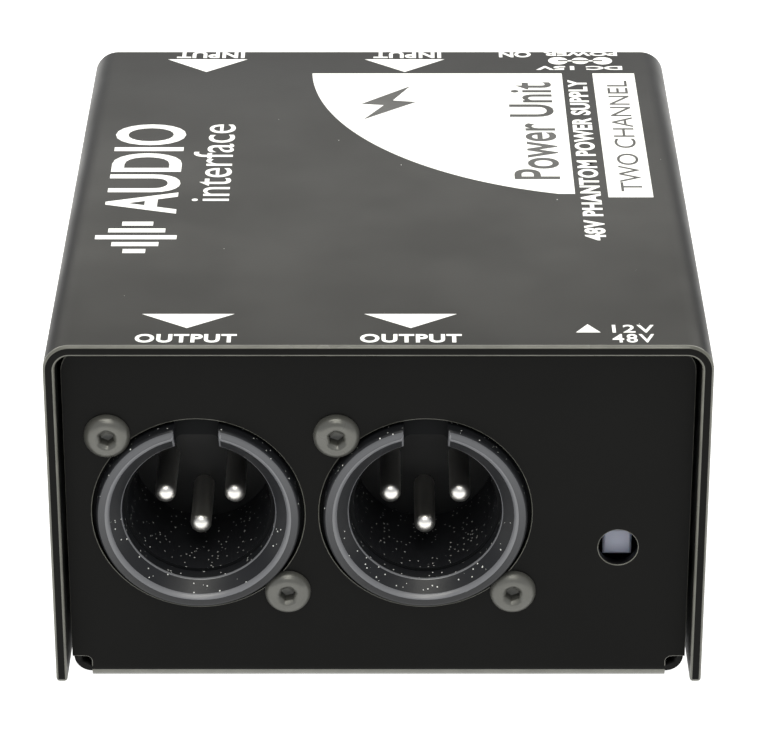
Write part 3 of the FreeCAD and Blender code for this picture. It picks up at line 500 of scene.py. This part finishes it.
# %% Find the cover screws
screw_low, screw_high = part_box("cover_screws")
screw_head = 2.75
screw_height = (screw_low.z + screw_high.z) / 2
screw_reach = screw_high.y - screw_head * mm
screw_places = [(Vector((side * cover_high.x, way * screw_reach, screw_height)), Vector((side, 0.0, 0.0)))
                for side in (-1, 1) for way in (-1, 1)]
print("cover screws", round(screw_height / mm, 2), "mm up,", round(screw_reach / mm, 2), "mm from the middle")

# %% [markdown]
# The holes under their heads are punched and countersunk, so a cone and a cylinder are cut out of the wall
# by a Boolean modifier. A Bevel before it rounds the wall's tips and one after it breaks the cut edges,
# as tumbling and the coating do on the real sheet.

# %% Countersink and settle the cover
hole_radius = 1.65
mouth_radius = screw_head + 0.12
countersink = turned("countersink", [(hole_radius, -3.0), (hole_radius, -1.2), (mouth_radius, 0.0),
                                     (mouth_radius, 1.0)])
cutter = in_scene("countersinks", placed(countersink, screw_places, coated_steel))
rounded(cover, "rounded tips", width=0.5 * mm, steps=4, sharper_than=radians(60))
punch = cover.modifiers.new("countersunk holes", "BOOLEAN")
punch.object = cutter
punch.solver = "EXACT"
rounded(cover, "broken edges", width=0.1 * mm, steps=2, sharper_than=radians(50))
cover_mesh = settled(cover)
bpy.data.objects.remove(cutter)
cover_mesh.shade_smooth()
cover_mesh.set_sharp_from_angle(angle=radians(40))
print("cover mesh:", len(cover_mesh.polygons), "faces")

# %% [markdown]
# The cover's front and back rims are cut edges, and they stand out beyond the panels, so they are the first
# to be rubbed. Only the rounded strips of a rim get the paler edge finish, which is mostly a painted
# highlight for the line of light they catch. The flat between them keeps its coat.

# %% Paint the highlight on the cover's rims
flat_end = 0.01 * mm
cover_mesh.materials.append(coat_edge_highlight)
# Painted highlight: the rounded strips of both rims take the pale edge finish.
for face in cover_mesh.polygons:
    from_rim = cover_high.y - abs(face.center.y)
    if flat_end < from_rim < rim_edge:
        face.material_index = 1
dress("cover_shell", cover_mesh, coated_steel, "coated_steel", "outer_cover")

# %% [markdown]
# ## The steel chassis
#
# The tray inside is folded from a thinner sheet and carries both panels, with relief notches at the lower
# corners. Its many holes are already exact in CAD, so it is copied, and only the edges on the panels' faces
# are broken, by a tenth of a millimetre. Those broken edges get the coat's paler edge finish, a painted
# highlight. The part of the lower bends' round that faces down and outwards gets it too, as a painted
# reflection of the lit table below.

# %% Copy the chassis
tray_low, tray_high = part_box("inner_chassis")
on_the_face = 0.02 * mm
bend_height = 2.4 * mm
nearly_down, nearly_level = -0.93, -0.3


def on_a_panel_face(point):
    return float(tray_high.y - abs(point.y) < on_the_face)


tray = softened("inner_chassis", edge=0.09, highlight_finish=coat_edge_highlight, share=on_a_panel_face)
# Painted reflection of the lit table: lower-bend faces that look down and outwards get the pale edge finish.
for face in tray.polygons:
    if face.center.z < tray_low.z + bend_height and nearly_down < face.normal.z < nearly_level:
        face.material_index = 1
dress("chassis_tray", tray, coated_steel, "coated_steel", "inner_chassis")

# %% [markdown]
# ## Screen printing
#
# The legends are white ink, pushed through a mesh onto the coat. It is matt, opaque and thinner than a
# hair. It could be painted into the steel's finish, but letters drawn in nodes are hard to write and blur
# up close, and real letters of very thin geometry stay sharp.

# %% Mix the inks
white_ink = finish("white_screen_ink", "#f4f4f1", 0.55, Specular_IOR_Level=0.3)
grain(white_ink, size=0.25, depth=0.003, matt=0.62, gloss=0.5)
black_ink = finish("black_screen_ink", "#151514", 0.5, Specular_IOR_Level=0.3)
grain(black_ink, size=0.25, depth=0.003, matt=0.55, gloss=0.45)

# %% [markdown]
# Each word is a text object made into a mesh, turned, and stretched to the place it takes on the cover.
# A place is its left, right, near and far edge in millimetres from the lid's middle. The black ink lies
# on the white, so each ink has a level of its own: the lowest and highest point of its layer.

# %% Write a word on the lid
white_level = (cover_top, cover_top + 0.4 * ink_room)
black_level = (cover_top + 0.2 * ink_room, cover_high.z - 0.1 * ink_room)


def fitted(mesh, left, right, near, far, level, turn=0):
    mesh.transform(Matrix.Rotation(radians(turn), 4, "Z"))
    low = [min(v.co[axis] for v in mesh.vertices) for axis in range(3)]
    high = [max(v.co[axis] for v in mesh.vertices) for axis in range(3)]
    target_low = (left * mm, near * mm, level[0])
    target_high = (right * mm, far * mm, level[1])
    for vertex in mesh.vertices:
        vertex.co = [
            start + (place - below) * (end - start) / (above - below)
            for place, below, above, start, end in zip(vertex.co, low, high, target_low, target_high)]
    return mesh


def word(letters, left, right, near, far, level, turn=0, weight=0.0, spacing=1.0):
    text = bpy.data.curves.new("word", "FONT")
    text.body = letters
    text.extrude = 0.5
    text.offset = weight
    text.space_character = spacing
    text.resolution_u = 5
    return fitted(settled(in_scene("word", text)), left, right, near, far, level, turn)


# %% [markdown]
# Bars, arrows and discs are outlines raised to the thickness of the ink. A curve object could be extruded
# as well, but an outline of a few points is quicker to write. All the shapes of one ink are then joined.

# %% Raise outlines and join them
def shape(outline, level):
    form = bmesh.new()
    face = form.faces.new([form.verts.new((x * mm, y * mm, level[0])) for x, y in outline])
    solid = bmesh.ops.extrude_face_region(form, geom=[face])
    raised = [item for item in solid["geom"] if isinstance(item, bmesh.types.BMVert)]
    bmesh.ops.translate(form, verts=raised, vec=(0.0, 0.0, level[1] - level[0]))
    bmesh.ops.recalc_face_normals(form, faces=form.faces)
    mesh = bpy.data.meshes.new("shape")
    form.to_mesh(mesh)
    form.free()
    return mesh


def joined(name, meshes):
    form = bmesh.new()
    for mesh in meshes:
        form.from_mesh(mesh)
        bpy.data.meshes.remove(mesh)
    together = bpy.data.meshes.new(name)
    form.to_mesh(together)
    form.free()
    return together


# %% [markdown]
# Each connector has its name along the cover's edge and a solid arrowhead that shows which way the signal
# goes: in from the far side and out on the near one. The words on the far edge are turned round, to be
# read from that side.

# %% Print the connector names
white = []
bold = 0.035
semibold = 0.0158
output_middles = (-21.0, 3.55)
input_middles = (-22.0, 3.25)


def arrowhead(middle, base, tip, half_width=5.1):
    return shape([(middle - half_width, base), (middle, tip), (middle + half_width, base)], white_level)


for middle in output_middles:
    white.append(arrowhead(middle, base=-35.05, tip=-38.6))
    white.append(word("OUTPUT", middle - 5.55, middle + 5.55, -42.2, -40.1, white_level,
                      weight=bold, spacing=1.1))
for middle in input_middles:
    white.append(arrowhead(middle, base=40.3, tip=36.0))
    white.append(word("INPUT", middle - 4.0, middle + 4.7, 40.75, 42.9, white_level,
                      turn=180, weight=bold, spacing=1.1))
print(len(white), "connector marks")

# %% [markdown]
# The switch has its two voltages beside it, with a small pointer. The lamp and the inlet on the far side
# have theirs turned round. The places are a short list for each side, so one loop prints a side.

# %% Print the switch and inlet legends
near_legends = {"12V": (25.6, 30.2, -39.75, -37.8), "48V": (25.5, 30.1, -42.2, -40.1)}
far_legends = {"ON": (15.4, 19.5, 41.0, 43.0), "DC 15V": (20.0, 31.0, 36.7, 38.0),
               "POWER": (21.0, 30.6, 41.5, 42.9)}
white.append(shape([(21.6, -39.7), (22.95, -37.65), (24.3, -39.7)], white_level))
for letters, place in near_legends.items():
    white.append(word(letters, *place, white_level, weight=semibold, spacing=1.15))
for letters, place in far_legends.items():
    white.append(word(letters, *place, white_level, turn=180, weight=bold))
print("legends", *near_legends, *far_legends)


# %% [markdown]
# Between the inlet's two words is the usual sign for a barrel plug: a dot in the middle and a sleeve on
# each side, here joined by a bar.

# %% Print the polarity sign
def disc(x, y, radius, steps=40):
    angles = [2 * pi * step / steps for step in range(steps)]
    return [(x + radius * cos(angle), y + radius * sin(angle)) for angle in angles]


def bar(left, right, near, far):
    return [(left, near), (right, near), (right, far), (left, far)]


sign_left, sign_middle, sign_right, sign_y = 22.9, 25.75, 28.6, 39.8
for x, radius in ((sign_left, 1.25), (sign_middle, 1.1), (sign_right, 1.25)):
    white.append(shape(disc(x, sign_y, radius), white_level))
white.append(shape(bar(sign_left, sign_right, sign_y - 0.2, sign_y + 0.2), white_level))
print("polarity sign", round(sign_right - sign_left, 1), "mm between its sleeves")

# %% [markdown]
# A pale field covers one quarter of the lid: a slice of a large disc whose middle lies near the far right
# corner. Its edge is an arc, so the outline is worked out from the disc's radius rather than drawn point by
# point. A narrow strip next to it is left bare, as a dark band for white letters.

# %% Print the pale field
field_x, field_y, field_radius = 31.8, 36.6, 40.3
field_near, field_far = -2.3, 35.5
band_left, band_right, strip_right = 23.2, 27.1, 32.4
arc_steps = 48


def field_edge(y):
    return field_x - sqrt(field_radius ** 2 - (y - field_y) ** 2)


rows = [field_near + (field_far - field_near) * step / arc_steps for step in range(arc_steps + 1)]
white.append(shape([(field_edge(y), y) for y in rows] + [(band_left, field_far), (band_left, field_near)],
                   white_level))
white.append(shape(bar(band_right, strip_right, field_near - 1.0, field_far), white_level))
print("pale field from", round(field_edge(field_far), 1), "to", strip_right, "mm across")

# %% [markdown]
# The field carries plain words for what the box does, and a spark for electric power, all in black. The
# band's white words run on past the field. A row of level bars and the word for the trade fill the other
# side.

# %% Print the titles
white.append(word("48V PHANTOM POWER SUPPLY", 23.8, 26.25, -15.5, 33.3, white_level,
                  turn=90, weight=bold, spacing=1.08))
black = [word("Power Unit", 16.2, 21.7, 2.0, 32.5, black_level, turn=90, weight=0.012),
         word("TWO CHANNEL", 28.7, 31.3, -1.6, 33.0, black_level, turn=90)]
spark = [(3.9, 31.2), (-2.2, 25.4), (0.6, 25.0), (-1.9, 20.4), (4.6, 26.0), (1.7, 26.5)]
black.append(shape(spark, black_level))
white.append(word("AUDIO", -32.2, -23.6, -8.0, 18.8, white_level, turn=90, weight=0.02))
white.append(word("interface", -22.4, -17.6, -4.4, 18.8, white_level, turn=90))
bars_x, bars_y, bar_pitch, bar_width = -28.0, -19.0, 1.9, 1.1
for number, height in enumerate((2.6, 5.4, 9.4, 6.6, 3.6)):
    foot = bars_y + bar_pitch * number
    white.append(shape(bar(bars_x - height / 2, bars_x + height / 2, foot, foot + bar_width), white_level))

# %% [markdown]
# Each ink becomes one piece, because one pass of the screen prints it all at once.

# %% Settle the print
dress("printed_legends", joined("printed_legends", white), white_ink, "coated_steel")
dress("printed_titles", joined("printed_titles", black), black_ink, "coated_steel")

# %% [markdown]
# ## The output connectors
#
# Each output is a three-pin male connector: a glass-filled nylon shell behind the panel, whose ring stands
# proud. Glass fibres near the surface scatter light, so the moulding looks bluish charcoal rather than
# black, with a fine matt grain and a soft highlight on every lip.

# %% Mix the connector plastics
glass_filled_nylon = finish("glass_filled_nylon", "#17181a", 0.4, Specular_IOR_Level=0.28)
grain(glass_filled_nylon, size=0.16, depth=0.005, matt=0.48, gloss=0.34, detail=4.0)
drift_colour(glass_filled_nylon, "#1f2023", size=3)
dust(glass_filled_nylon, spacing=0.5, size=0.085, share=0.5)
# The pale edge finish is a painted highlight: it stands in for the light that a rounded lip catches.
nylon_edge_highlight = finish("rubbed_nylon_edge", "#6c6d70", 0.3, Specular_IOR_Level=0.6)
grain(nylon_edge_highlight, size=0.16, depth=0.004, matt=0.4, gloss=0.28)
black_nylon = finish("black_nylon", "#0d0e0e", 0.5, Specular_IOR_Level=0.35)
grain(black_nylon, size=0.3, depth=0.004, matt=0.6, gloss=0.45)

# %% [markdown]
# The flat front of a rim is painted lighter towards the top, a painted highlight for the light that falls on
# it from above. A mask painted as a texture could say so, but the highlight follows the height alone: one
# node turns the height into a share, and the share blends two greys. The recess behind the rim gets a darker,
# matt finish, a painted shade for the shadow inside it.

# %% Mix the finishes of the rims
screws_low, screws_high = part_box("output_screws")
axis_z = (screws_low.z + screws_high.z) / 2
rim_height = screws_high.z - screws_low.z
rim_front_highlight = finish("rubbed_nylon_rim", "#17181a", 0.38, Specular_IOR_Level=0.4)
grain(rim_front_highlight, size=0.16, depth=0.004, matt=0.44, gloss=0.32)
# Painted highlight: the rim's front grows from dark grey to a lighter grey towards the top.
rim_tree = rim_front_highlight.node_tree
rim_place = add(rim_tree, "ShaderNodeTexCoord")
rim_level = add(rim_tree, "ShaderNodeSeparateXYZ", {"Vector": rim_place.outputs["Object"]})
highlight_share = add(rim_tree, "ShaderNodeMapRange",
                {"Value": rim_level.outputs["Z"], "From Min": axis_z - rim_height / 3,
                 "From Max": axis_z + rim_height / 3})
highlight_blend = add(rim_tree, "ShaderNodeMix",
                {0: highlight_share.outputs["Result"], 6: linear("#1c1d1f"), 7: linear("#525356")},
                data_type="RGBA")
rim_tree.links.new(highlight_blend.outputs[2], rim_tree.nodes["Principled BSDF"].inputs["Base Color"])
# Painted shade: the recess behind the rim is darker and duller than the shell's own nylon.
recess_painted_shade = finish("matt_nylon_recess", "#101112", 0.6, Specular_IOR_Level=0.06)
print("connector axes", round(axis_z / mm, 2), "mm up")

# %% [markdown]
# A moulded rim is well rounded inside, where a plug is guided in, and less outside. The rounded strips,
# widest at the inner lip, get a paler finish, a painted highlight for the light that the rounds catch. How
# much an edge is rounded, and which finish a face gets, follow from where it is: its distance from the
# connector's axis, and how far it lies behind the front of the rim. On the cone behind the lip weighted
# normals would show as blocks, so the shells get plain smooth shading.

# %% Round the rims and paint their highlights and shade
lip_radius = 10.7 * mm
throat_radius = 8.3 * mm
lip_depth = 2.0 * mm
front_depth = 0.3 * mm
throat_share = 0.35
outer_share = 0.45
front_facing = 0.8
recess_facing = 0.9
plain_face, highlight_front, shaded_recess = 0, 2, 3


def shell_with_painted_light(node):
    low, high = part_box(node)
    axis_x = (low.x + high.x) / 2
    rim_y = low.y if low.y < -high.y else high.y

    def from_axis(point):
        return sqrt((point.x - axis_x) ** 2 + (point.z - axis_z) ** 2)

    def share(point):
        depth = abs(point.y - rim_y)
        if depth > lip_depth or from_axis(point) < throat_radius:
            return 0.0
        if depth > lip_depth / 2:
            return throat_share
        return 1.0 if from_axis(point) < lip_radius else outer_share

    mesh = softened(node, edge=0.42, steps=4, highlight_finish=nylon_edge_highlight, share=share)
    mesh.materials.append(rim_front_highlight)
    mesh.materials.append(recess_painted_shade)
    for face in mesh.polygons:
        depth = abs(face.center.y - rim_y)
        facing = abs(face.normal.y)
        if from_axis(face.center) > lip_radius:
            face.material_index = plain_face
        # Painted highlight on the rim's front flat, painted shade in the deep recess.
        if facing > front_facing and depth < front_depth and face.material_index == plain_face:
            face.material_index = highlight_front
        elif depth > lip_depth and facing > recess_facing:
            face.material_index = shaded_recess
    mesh.attributes.remove(mesh.attributes["custom_normal"])
    mesh.set_sharp_from_angle(angle=sharp_corner)
    return mesh


# %% [markdown]
# Inside each shell sits the carrier that holds the pins, a separate moulding in plain black nylon.

# %% Copy the output shells and their pin carriers
for number in (1, 2):
    shell = f"output_{number}_housing"
    carrier = f"output_{number}_pin_carrier"
    dress(f"output_{number}_shell", shell_with_painted_light(shell), glass_filled_nylon, "charcoal_nylon", shell)
    dress(f"output_{number}_carrier", softened(carrier, edge=0.08), black_nylon, "black_nylon", carrier)

# %% [markdown]
# Metals differ by what they are coated with. The pins are silver-plated brass, nearly white, with faint
# turning marks. The screws are blackened steel, whose oxide is thin and reads as grey. Zinc plate is a
# cool grey, and tin plate is soft and silvery.

# %% Mix the plated metals
silver_plate = finish("silver_plated_brass", "#eeece6", 0.36, Metallic=1.0)
grain(silver_plate, size=0.2, depth=0.006, matt=0.42, gloss=0.3)
black_oxide = finish("black_oxide_steel", "#5f5f5b", 0.28, Metallic=0.35, Specular_IOR_Level=0.6)
grain(black_oxide, size=0.2, depth=0.004, matt=0.42, gloss=0.26)
drift_colour(black_oxide, "#54544e", size=1.2)
zinc_plate = finish("zinc_plated_steel", "#b9bab8", 0.3, Metallic=1.0)
grain(zinc_plate, size=0.4, depth=0.002, matt=0.42, gloss=0.26)
tinned_brass = finish("tin_plated_brass", "#c9c8c2", 0.32, Metallic=1.0)
grain(tinned_brass, size=0.3, depth=0.004, matt=0.42, gloss=0.26)

# %% [markdown]
# A pin is a turned rod with a rounded tip and a tiny flat where it was cut off. Three stand on a circle in
# each cup.

# %% Turn and place the output pins
pin_radius = 1.18
pin_circle = 3.94
pin_depth = 13.5
tip_height = pin_radius * 0.75
tip_flat = 0.16
foot_chamfer = 0.1
tip = [(pin_radius * cos(angle), -tip_height + tip_height * sin(angle))
       for angle in (radians(9 * step) for step in range(9))]
foot = [(pin_radius - foot_chamfer, -pin_depth), (pin_radius, -pin_depth + foot_chamfer)]
pin = turned("pin", foot + tip + [(tip_flat, 0.0)], sides=32)
pin_spots = ((-pin_circle, 0.0), (pin_circle, 0.0), (0.0, -pin_circle))
for number in (1, 2):
    low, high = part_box(f"output_{number}_pins")
    middle = (low.x + high.x) / 2
    axis_height = high.z - pin_radius * mm
    places = [(Vector((middle + x * mm, low.y, axis_height + z * mm)), Vector((0.0, -1.0, 0.0)))
              for x, z in pin_spots]
    dress(f"output_{number}_contacts", placed(pin, places, silver_plate), silver_plate, "silver_contact",
          f"output_{number}_pins")

# %% [markdown]
# The connector screws have button heads: a low dome with a hexagon socket, whose mouth is a small cone left
# by the forging punch. The profile runs up the shank, over the dome and down into the socket.

# %% Turn the button screws
head_radius, head_height = 2.6, 1.35
flat_radius = 1.35
shank_radius, shank_length = 1.25, 3.6
dome = [(flat_radius + (head_radius - flat_radius) * sin(angle), head_height * (0.18 + 0.82 * cos(angle)))
        for angle in (radians(90 - 10 * step) for step in range(10))]
socket = [(1.25, head_height - 0.02), (0.8, head_height - 0.4, "hex"), (0.78, head_height - 0.46, "hex"),
          (0.76, -0.3, "hex"), (0.35, -0.5)]
shank = [(shank_radius, -shank_length), (shank_radius, 0.0), (head_radius - 0.12, 0.0), (head_radius, 0.12)]
button = turned("button_screw", shank + dome + socket)
print("button head", 2 * head_radius, "mm wide and", head_height, "mm high")

# %% [markdown]
# Two of them hold each connector, at opposite corners. The input side is the output side turned round,
# so one loop does both sides with a change of sign.

# %% Place the button screws
screw_offset = 9.9 * mm
for side, corner in (("output", -1), ("input", 1)):
    places = []
    low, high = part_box(side + "_screws")
    front = low.y + head_height * mm if side == "output" else high.y - head_height * mm
    centre_height = (low.z + high.z) / 2
    for number in (1, 2):
        shell_low, shell_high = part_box(f"{side}_{number}_housing")
        middle = (shell_low.x + shell_high.x) / 2
        for way in (-1, 1):
            place = Vector((middle + corner * way * screw_offset, front, centre_height + way * screw_offset))
            places.append((place, Vector((0.0, corner, 0.0))))
    dress(side + "_screw_heads", placed(button, places, black_oxide, spin=pi / 3, seed=4), black_oxide,
          "black_screw_steel", side + "_screws")

# %% [markdown]
# The cover screws are flat countersunk ones, flush with the wall.

# %% Turn and place the cover screws
cone = [(1.4, -4.5), (1.45, -1.5), (screw_head - 0.1, -0.12), (screw_head - 0.16, -0.04)]
flat_socket = [(1.35, -0.04), (1.0, -0.3, "hex"), (0.98, -0.9, "hex"), (0.4, -1.1)]
flat_screw = turned("flat_screw", cone + flat_socket)
dress("cover_screw_heads", placed(flat_screw, screw_places, black_oxide, spin=pi / 3, seed=2), black_oxide,
      "black_screw_steel", "cover_screws")

# %% [markdown]
# ## The input connectors
#
# On the other side are two female connectors: a shell, a socket insert with three contacts, and a release
# latch that rocks on a pin. The latch is die-cast and painted, and it is the one part that a thumb
# polishes, so its edges are rounded more than the insert's.

# %% Copy the input connectors
latch_metal = finish("black_die_casting", "#161616", 0.4, Specular_IOR_Level=0.45)
grain(latch_metal, size=0.3, depth=0.005, matt=0.48, gloss=0.34)
for number in (1, 2):
    shell = f"input_{number}_housing"
    insert = f"input_{number}_socket_insert"
    latch = f"input_{number}_latch"
    dress(f"input_{number}_shell", shell_with_painted_light(shell), glass_filled_nylon, "charcoal_nylon", shell)
    dress(f"input_{number}_insert", softened(insert, edge=0.08), black_nylon, "black_nylon", insert)
    dress(f"input_{number}_release", softened(latch, edge=0.25, steps=3), latch_metal, "latch_metal", latch)

# %% [markdown]
# ## Switch, inlet, lamp and pad
#
# The voltage switch hides behind a hole, so that it takes a pen tip to change it. Its plunger is acetal,
# a milky, slightly waxy plastic in lavender grey. The lamp is red-tinted resin, cast with the diode inside
# it. The pad is nitrile rubber, matt and pitted by the foam that it was skived from.

# %% Mix the small parts' finishes
acetal = finish("lavender_acetal", "#979bab", 0.38, Subsurface_Weight=0.15, Subsurface_Scale=0.5 * mm)
grain(acetal, size=0.5, depth=0.004, matt=0.45, gloss=0.33)
lamp_resin = finish("red_lamp_resin", "#7a0b0b", 0.16, Transmission_Weight=0.35, IOR=1.54)
grain(lamp_resin, size=0.9, depth=0.002, matt=0.2, gloss=0.13)
pad_rubber = finish("nitrile_rubber", "#1d1d1c", 0.85, Specular_IOR_Level=0.25)
grain(pad_rubber, size=0.5, depth=0.06, matt=0.92, gloss=0.8, detail=5.0)
drift_colour(pad_rubber, "#2a2a28", size=4)

# %% [markdown]
# The CAD has these simple solids right, so they are copied like the chassis. How wide an edge is rounded
# follows the part: a lens is crisp, a rubber pad is soft all round.

# %% Copy the small parts
dress("voltage_plunger", softened("selector_plunger", edge=0.18, steps=3), acetal, "plunger_plastic",
      "selector_plunger")
dress("inlet_body", softened("power_inlet_housing", edge=0.12), black_nylon, "black_nylon",
      "power_inlet_housing")
dress("inlet_centre_pin", softened("power_inlet_pin", edge=0.1), tinned_brass, "tinned_brass",
      "power_inlet_pin")
dress("lamp_lens", softened("power_lamp", edge=0.05), lamp_resin, "lamp_resin", "power_lamp")
dress("underside_pad", softened("bottom_pad", edge=0.35, steps=3), pad_rubber, "pad_rubber", "bottom_pad")

# %% [markdown]
# ## The works inside
#
# Solder mask is a glossy green lacquer over glass cloth, shrink sleeve is a thin glossy film, ferrite is a
# dull fired ceramic, moulded epoxy is a matt black, and spring steel is drawn bright.

# %% Mix the finishes of the works
solder_mask = finish("solder_mask_laminate", "#0f5a2c", 0.35)
grain(solder_mask, size=0.8, depth=0.01, matt=0.42, gloss=0.28)
drift_colour(solder_mask, "#0b4722", size=2)
shrink_sleeve = finish("shrink_sleeve", "#15161f", 0.25)
grain(shrink_sleeve, size=1.2, depth=0.01, matt=0.3, gloss=0.2)
ferrite = finish("sintered_ferrite", "#3c3835", 0.75)
grain(ferrite, size=0.2, depth=0.02, matt=0.85, gloss=0.65)
chip_epoxy = finish("moulded_epoxy", "#1b1b1b", 0.6)
grain(chip_epoxy, size=0.1, depth=0.01, matt=0.7, gloss=0.5)
resistor_lacquer = finish("resistor_lacquer", "#5f9fbd", 0.3)
grain(resistor_lacquer, size=0.6, depth=0.01, matt=0.36, gloss=0.24)
spring_steel = finish("bright_spring_steel", "#b4b6b8", 0.25, Metallic=1.0)
grain(spring_steel, size=0.2, depth=0.002, matt=0.34, gloss=0.2)

# %% [markdown]
# Two kinds of spring give way in use, and a rigid copy would cut into the piece that presses on it.
# The coil behind the plunger shortens towards the switch body as the plunger travels, and the strip under
# each latch flattens onto the shell as the lever comes down over it. Here each spring is copied in bright
# spring steel with a mesh of its own, and keeps the shape of its CAD node.


def sprung(name, node):
    spring = dress(name, softened(node, edge=0.02), spring_steel, "spring_steel", node)
    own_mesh(spring)


sprung("plunger_spring", "selector_spring")
for number in (1, 2):
    node = f"input_{number}_latch_spring"
    sprung(f"latch_{number}_strip", node)

# %% [markdown]
# The other CAD nodes inside the closed box are already the right shape, so they keep their meshes and only
# get finishes. The record says which slot each one has, and a table says which finish a slot takes.

# %% Dress the works by the record's slots
finish_of_slot = {
    "plated_steel": zinc_plate, "silver_contact": silver_plate, "black_nylon": black_nylon,
    "spring_steel": spring_steel, "tinned_brass": tinned_brass, "board_laminate": solder_mask,
    "capacitor_sleeve": shrink_sleeve, "ferrite": ferrite, "chip_epoxy": chip_epoxy,
    "resistor_coat": resistor_lacquer, "black_screw_steel": black_oxide,
}
for node in sorted(frame["nodes"]):
    obj = frame["nodes"][node]
    slot = obj.data.materials[0].name
    if not obj.hide_render:
        obj.material_slots[0].material = finish_of_slot[slot]
        print(f"{node}: {finish_of_slot[slot].name}")

# %% [markdown]
# ## The table and the light
#
# The box stands on a lit table: a sheet of milky acrylic with light coming up through it.
# It keeps the ground pale right up to the object and puts a soft glow under the lower bends.

# %% Lay the table
acrylic = finish("milky_acrylic", "#b9b9b7", 0.6, Emission_Color=linear("#ffffff"), Emission_Strength=1.0,
                 Specular_IOR_Level=0.2)
half = 4.0
table = bpy.data.meshes.new("table")
table.from_pydata([(x, y, 0.0) for x, y in bar(-half, half, -half, half)], [], [(0, 1, 2, 3)])
table.materials.append(acrylic)
ground = in_scene("table", table)
print("table", 2 * half, "m across")

# %% [markdown]
# Four soft sources light it: a pale room, a wide panel behind that the lid mirrors, a softbox in front that
# fills the cups, and a softbox overhead that draws a thin line of light along every rounded edge. An area
# light's brightness is its power divided by pi and by its area, so each one is set by how bright it looks.

# %% Hang the lights
middle_of_the_box = Vector((0.0, 0.0, 0.02))


def softbox(name, place, width, height, brightness):
    lamp = bpy.data.lights.new(name, "AREA")
    lamp.shape = "RECTANGLE"
    lamp.size = width
    lamp.size_y = height
    lamp.energy = brightness * pi * width * height
    lamp.color = linear("#fffdf4")[:3]
    light = in_scene(name, lamp)
    light.location = place
    light.rotation_euler = (Vector(place) - middle_of_the_box).to_track_quat("Z", "Y").to_euler()
    print(f"{name}: {lamp.energy:.1f} W")


softbox("panel_behind", (0.0, 1.35, 1.0), 3.4, 1.0, 4.15)
softbox("softbox_in_front", (0.0, -0.85, 0.85), 0.5, 0.3, 5.0)
softbox("softbox_overhead", (-0.1, -0.35, 0.95), 0.7, 0.4, 5.2)
room = bpy.data.worlds.new("pale_room")
room.use_nodes = True
room.node_tree.nodes["Background"].inputs["Color"].default_value = linear("#f6f8ff")
room.node_tree.nodes["Background"].inputs["Strength"].default_value = 0.55
bpy.context.scene.world = room
bpy.context.scene.view_settings.view_transform = "Standard"
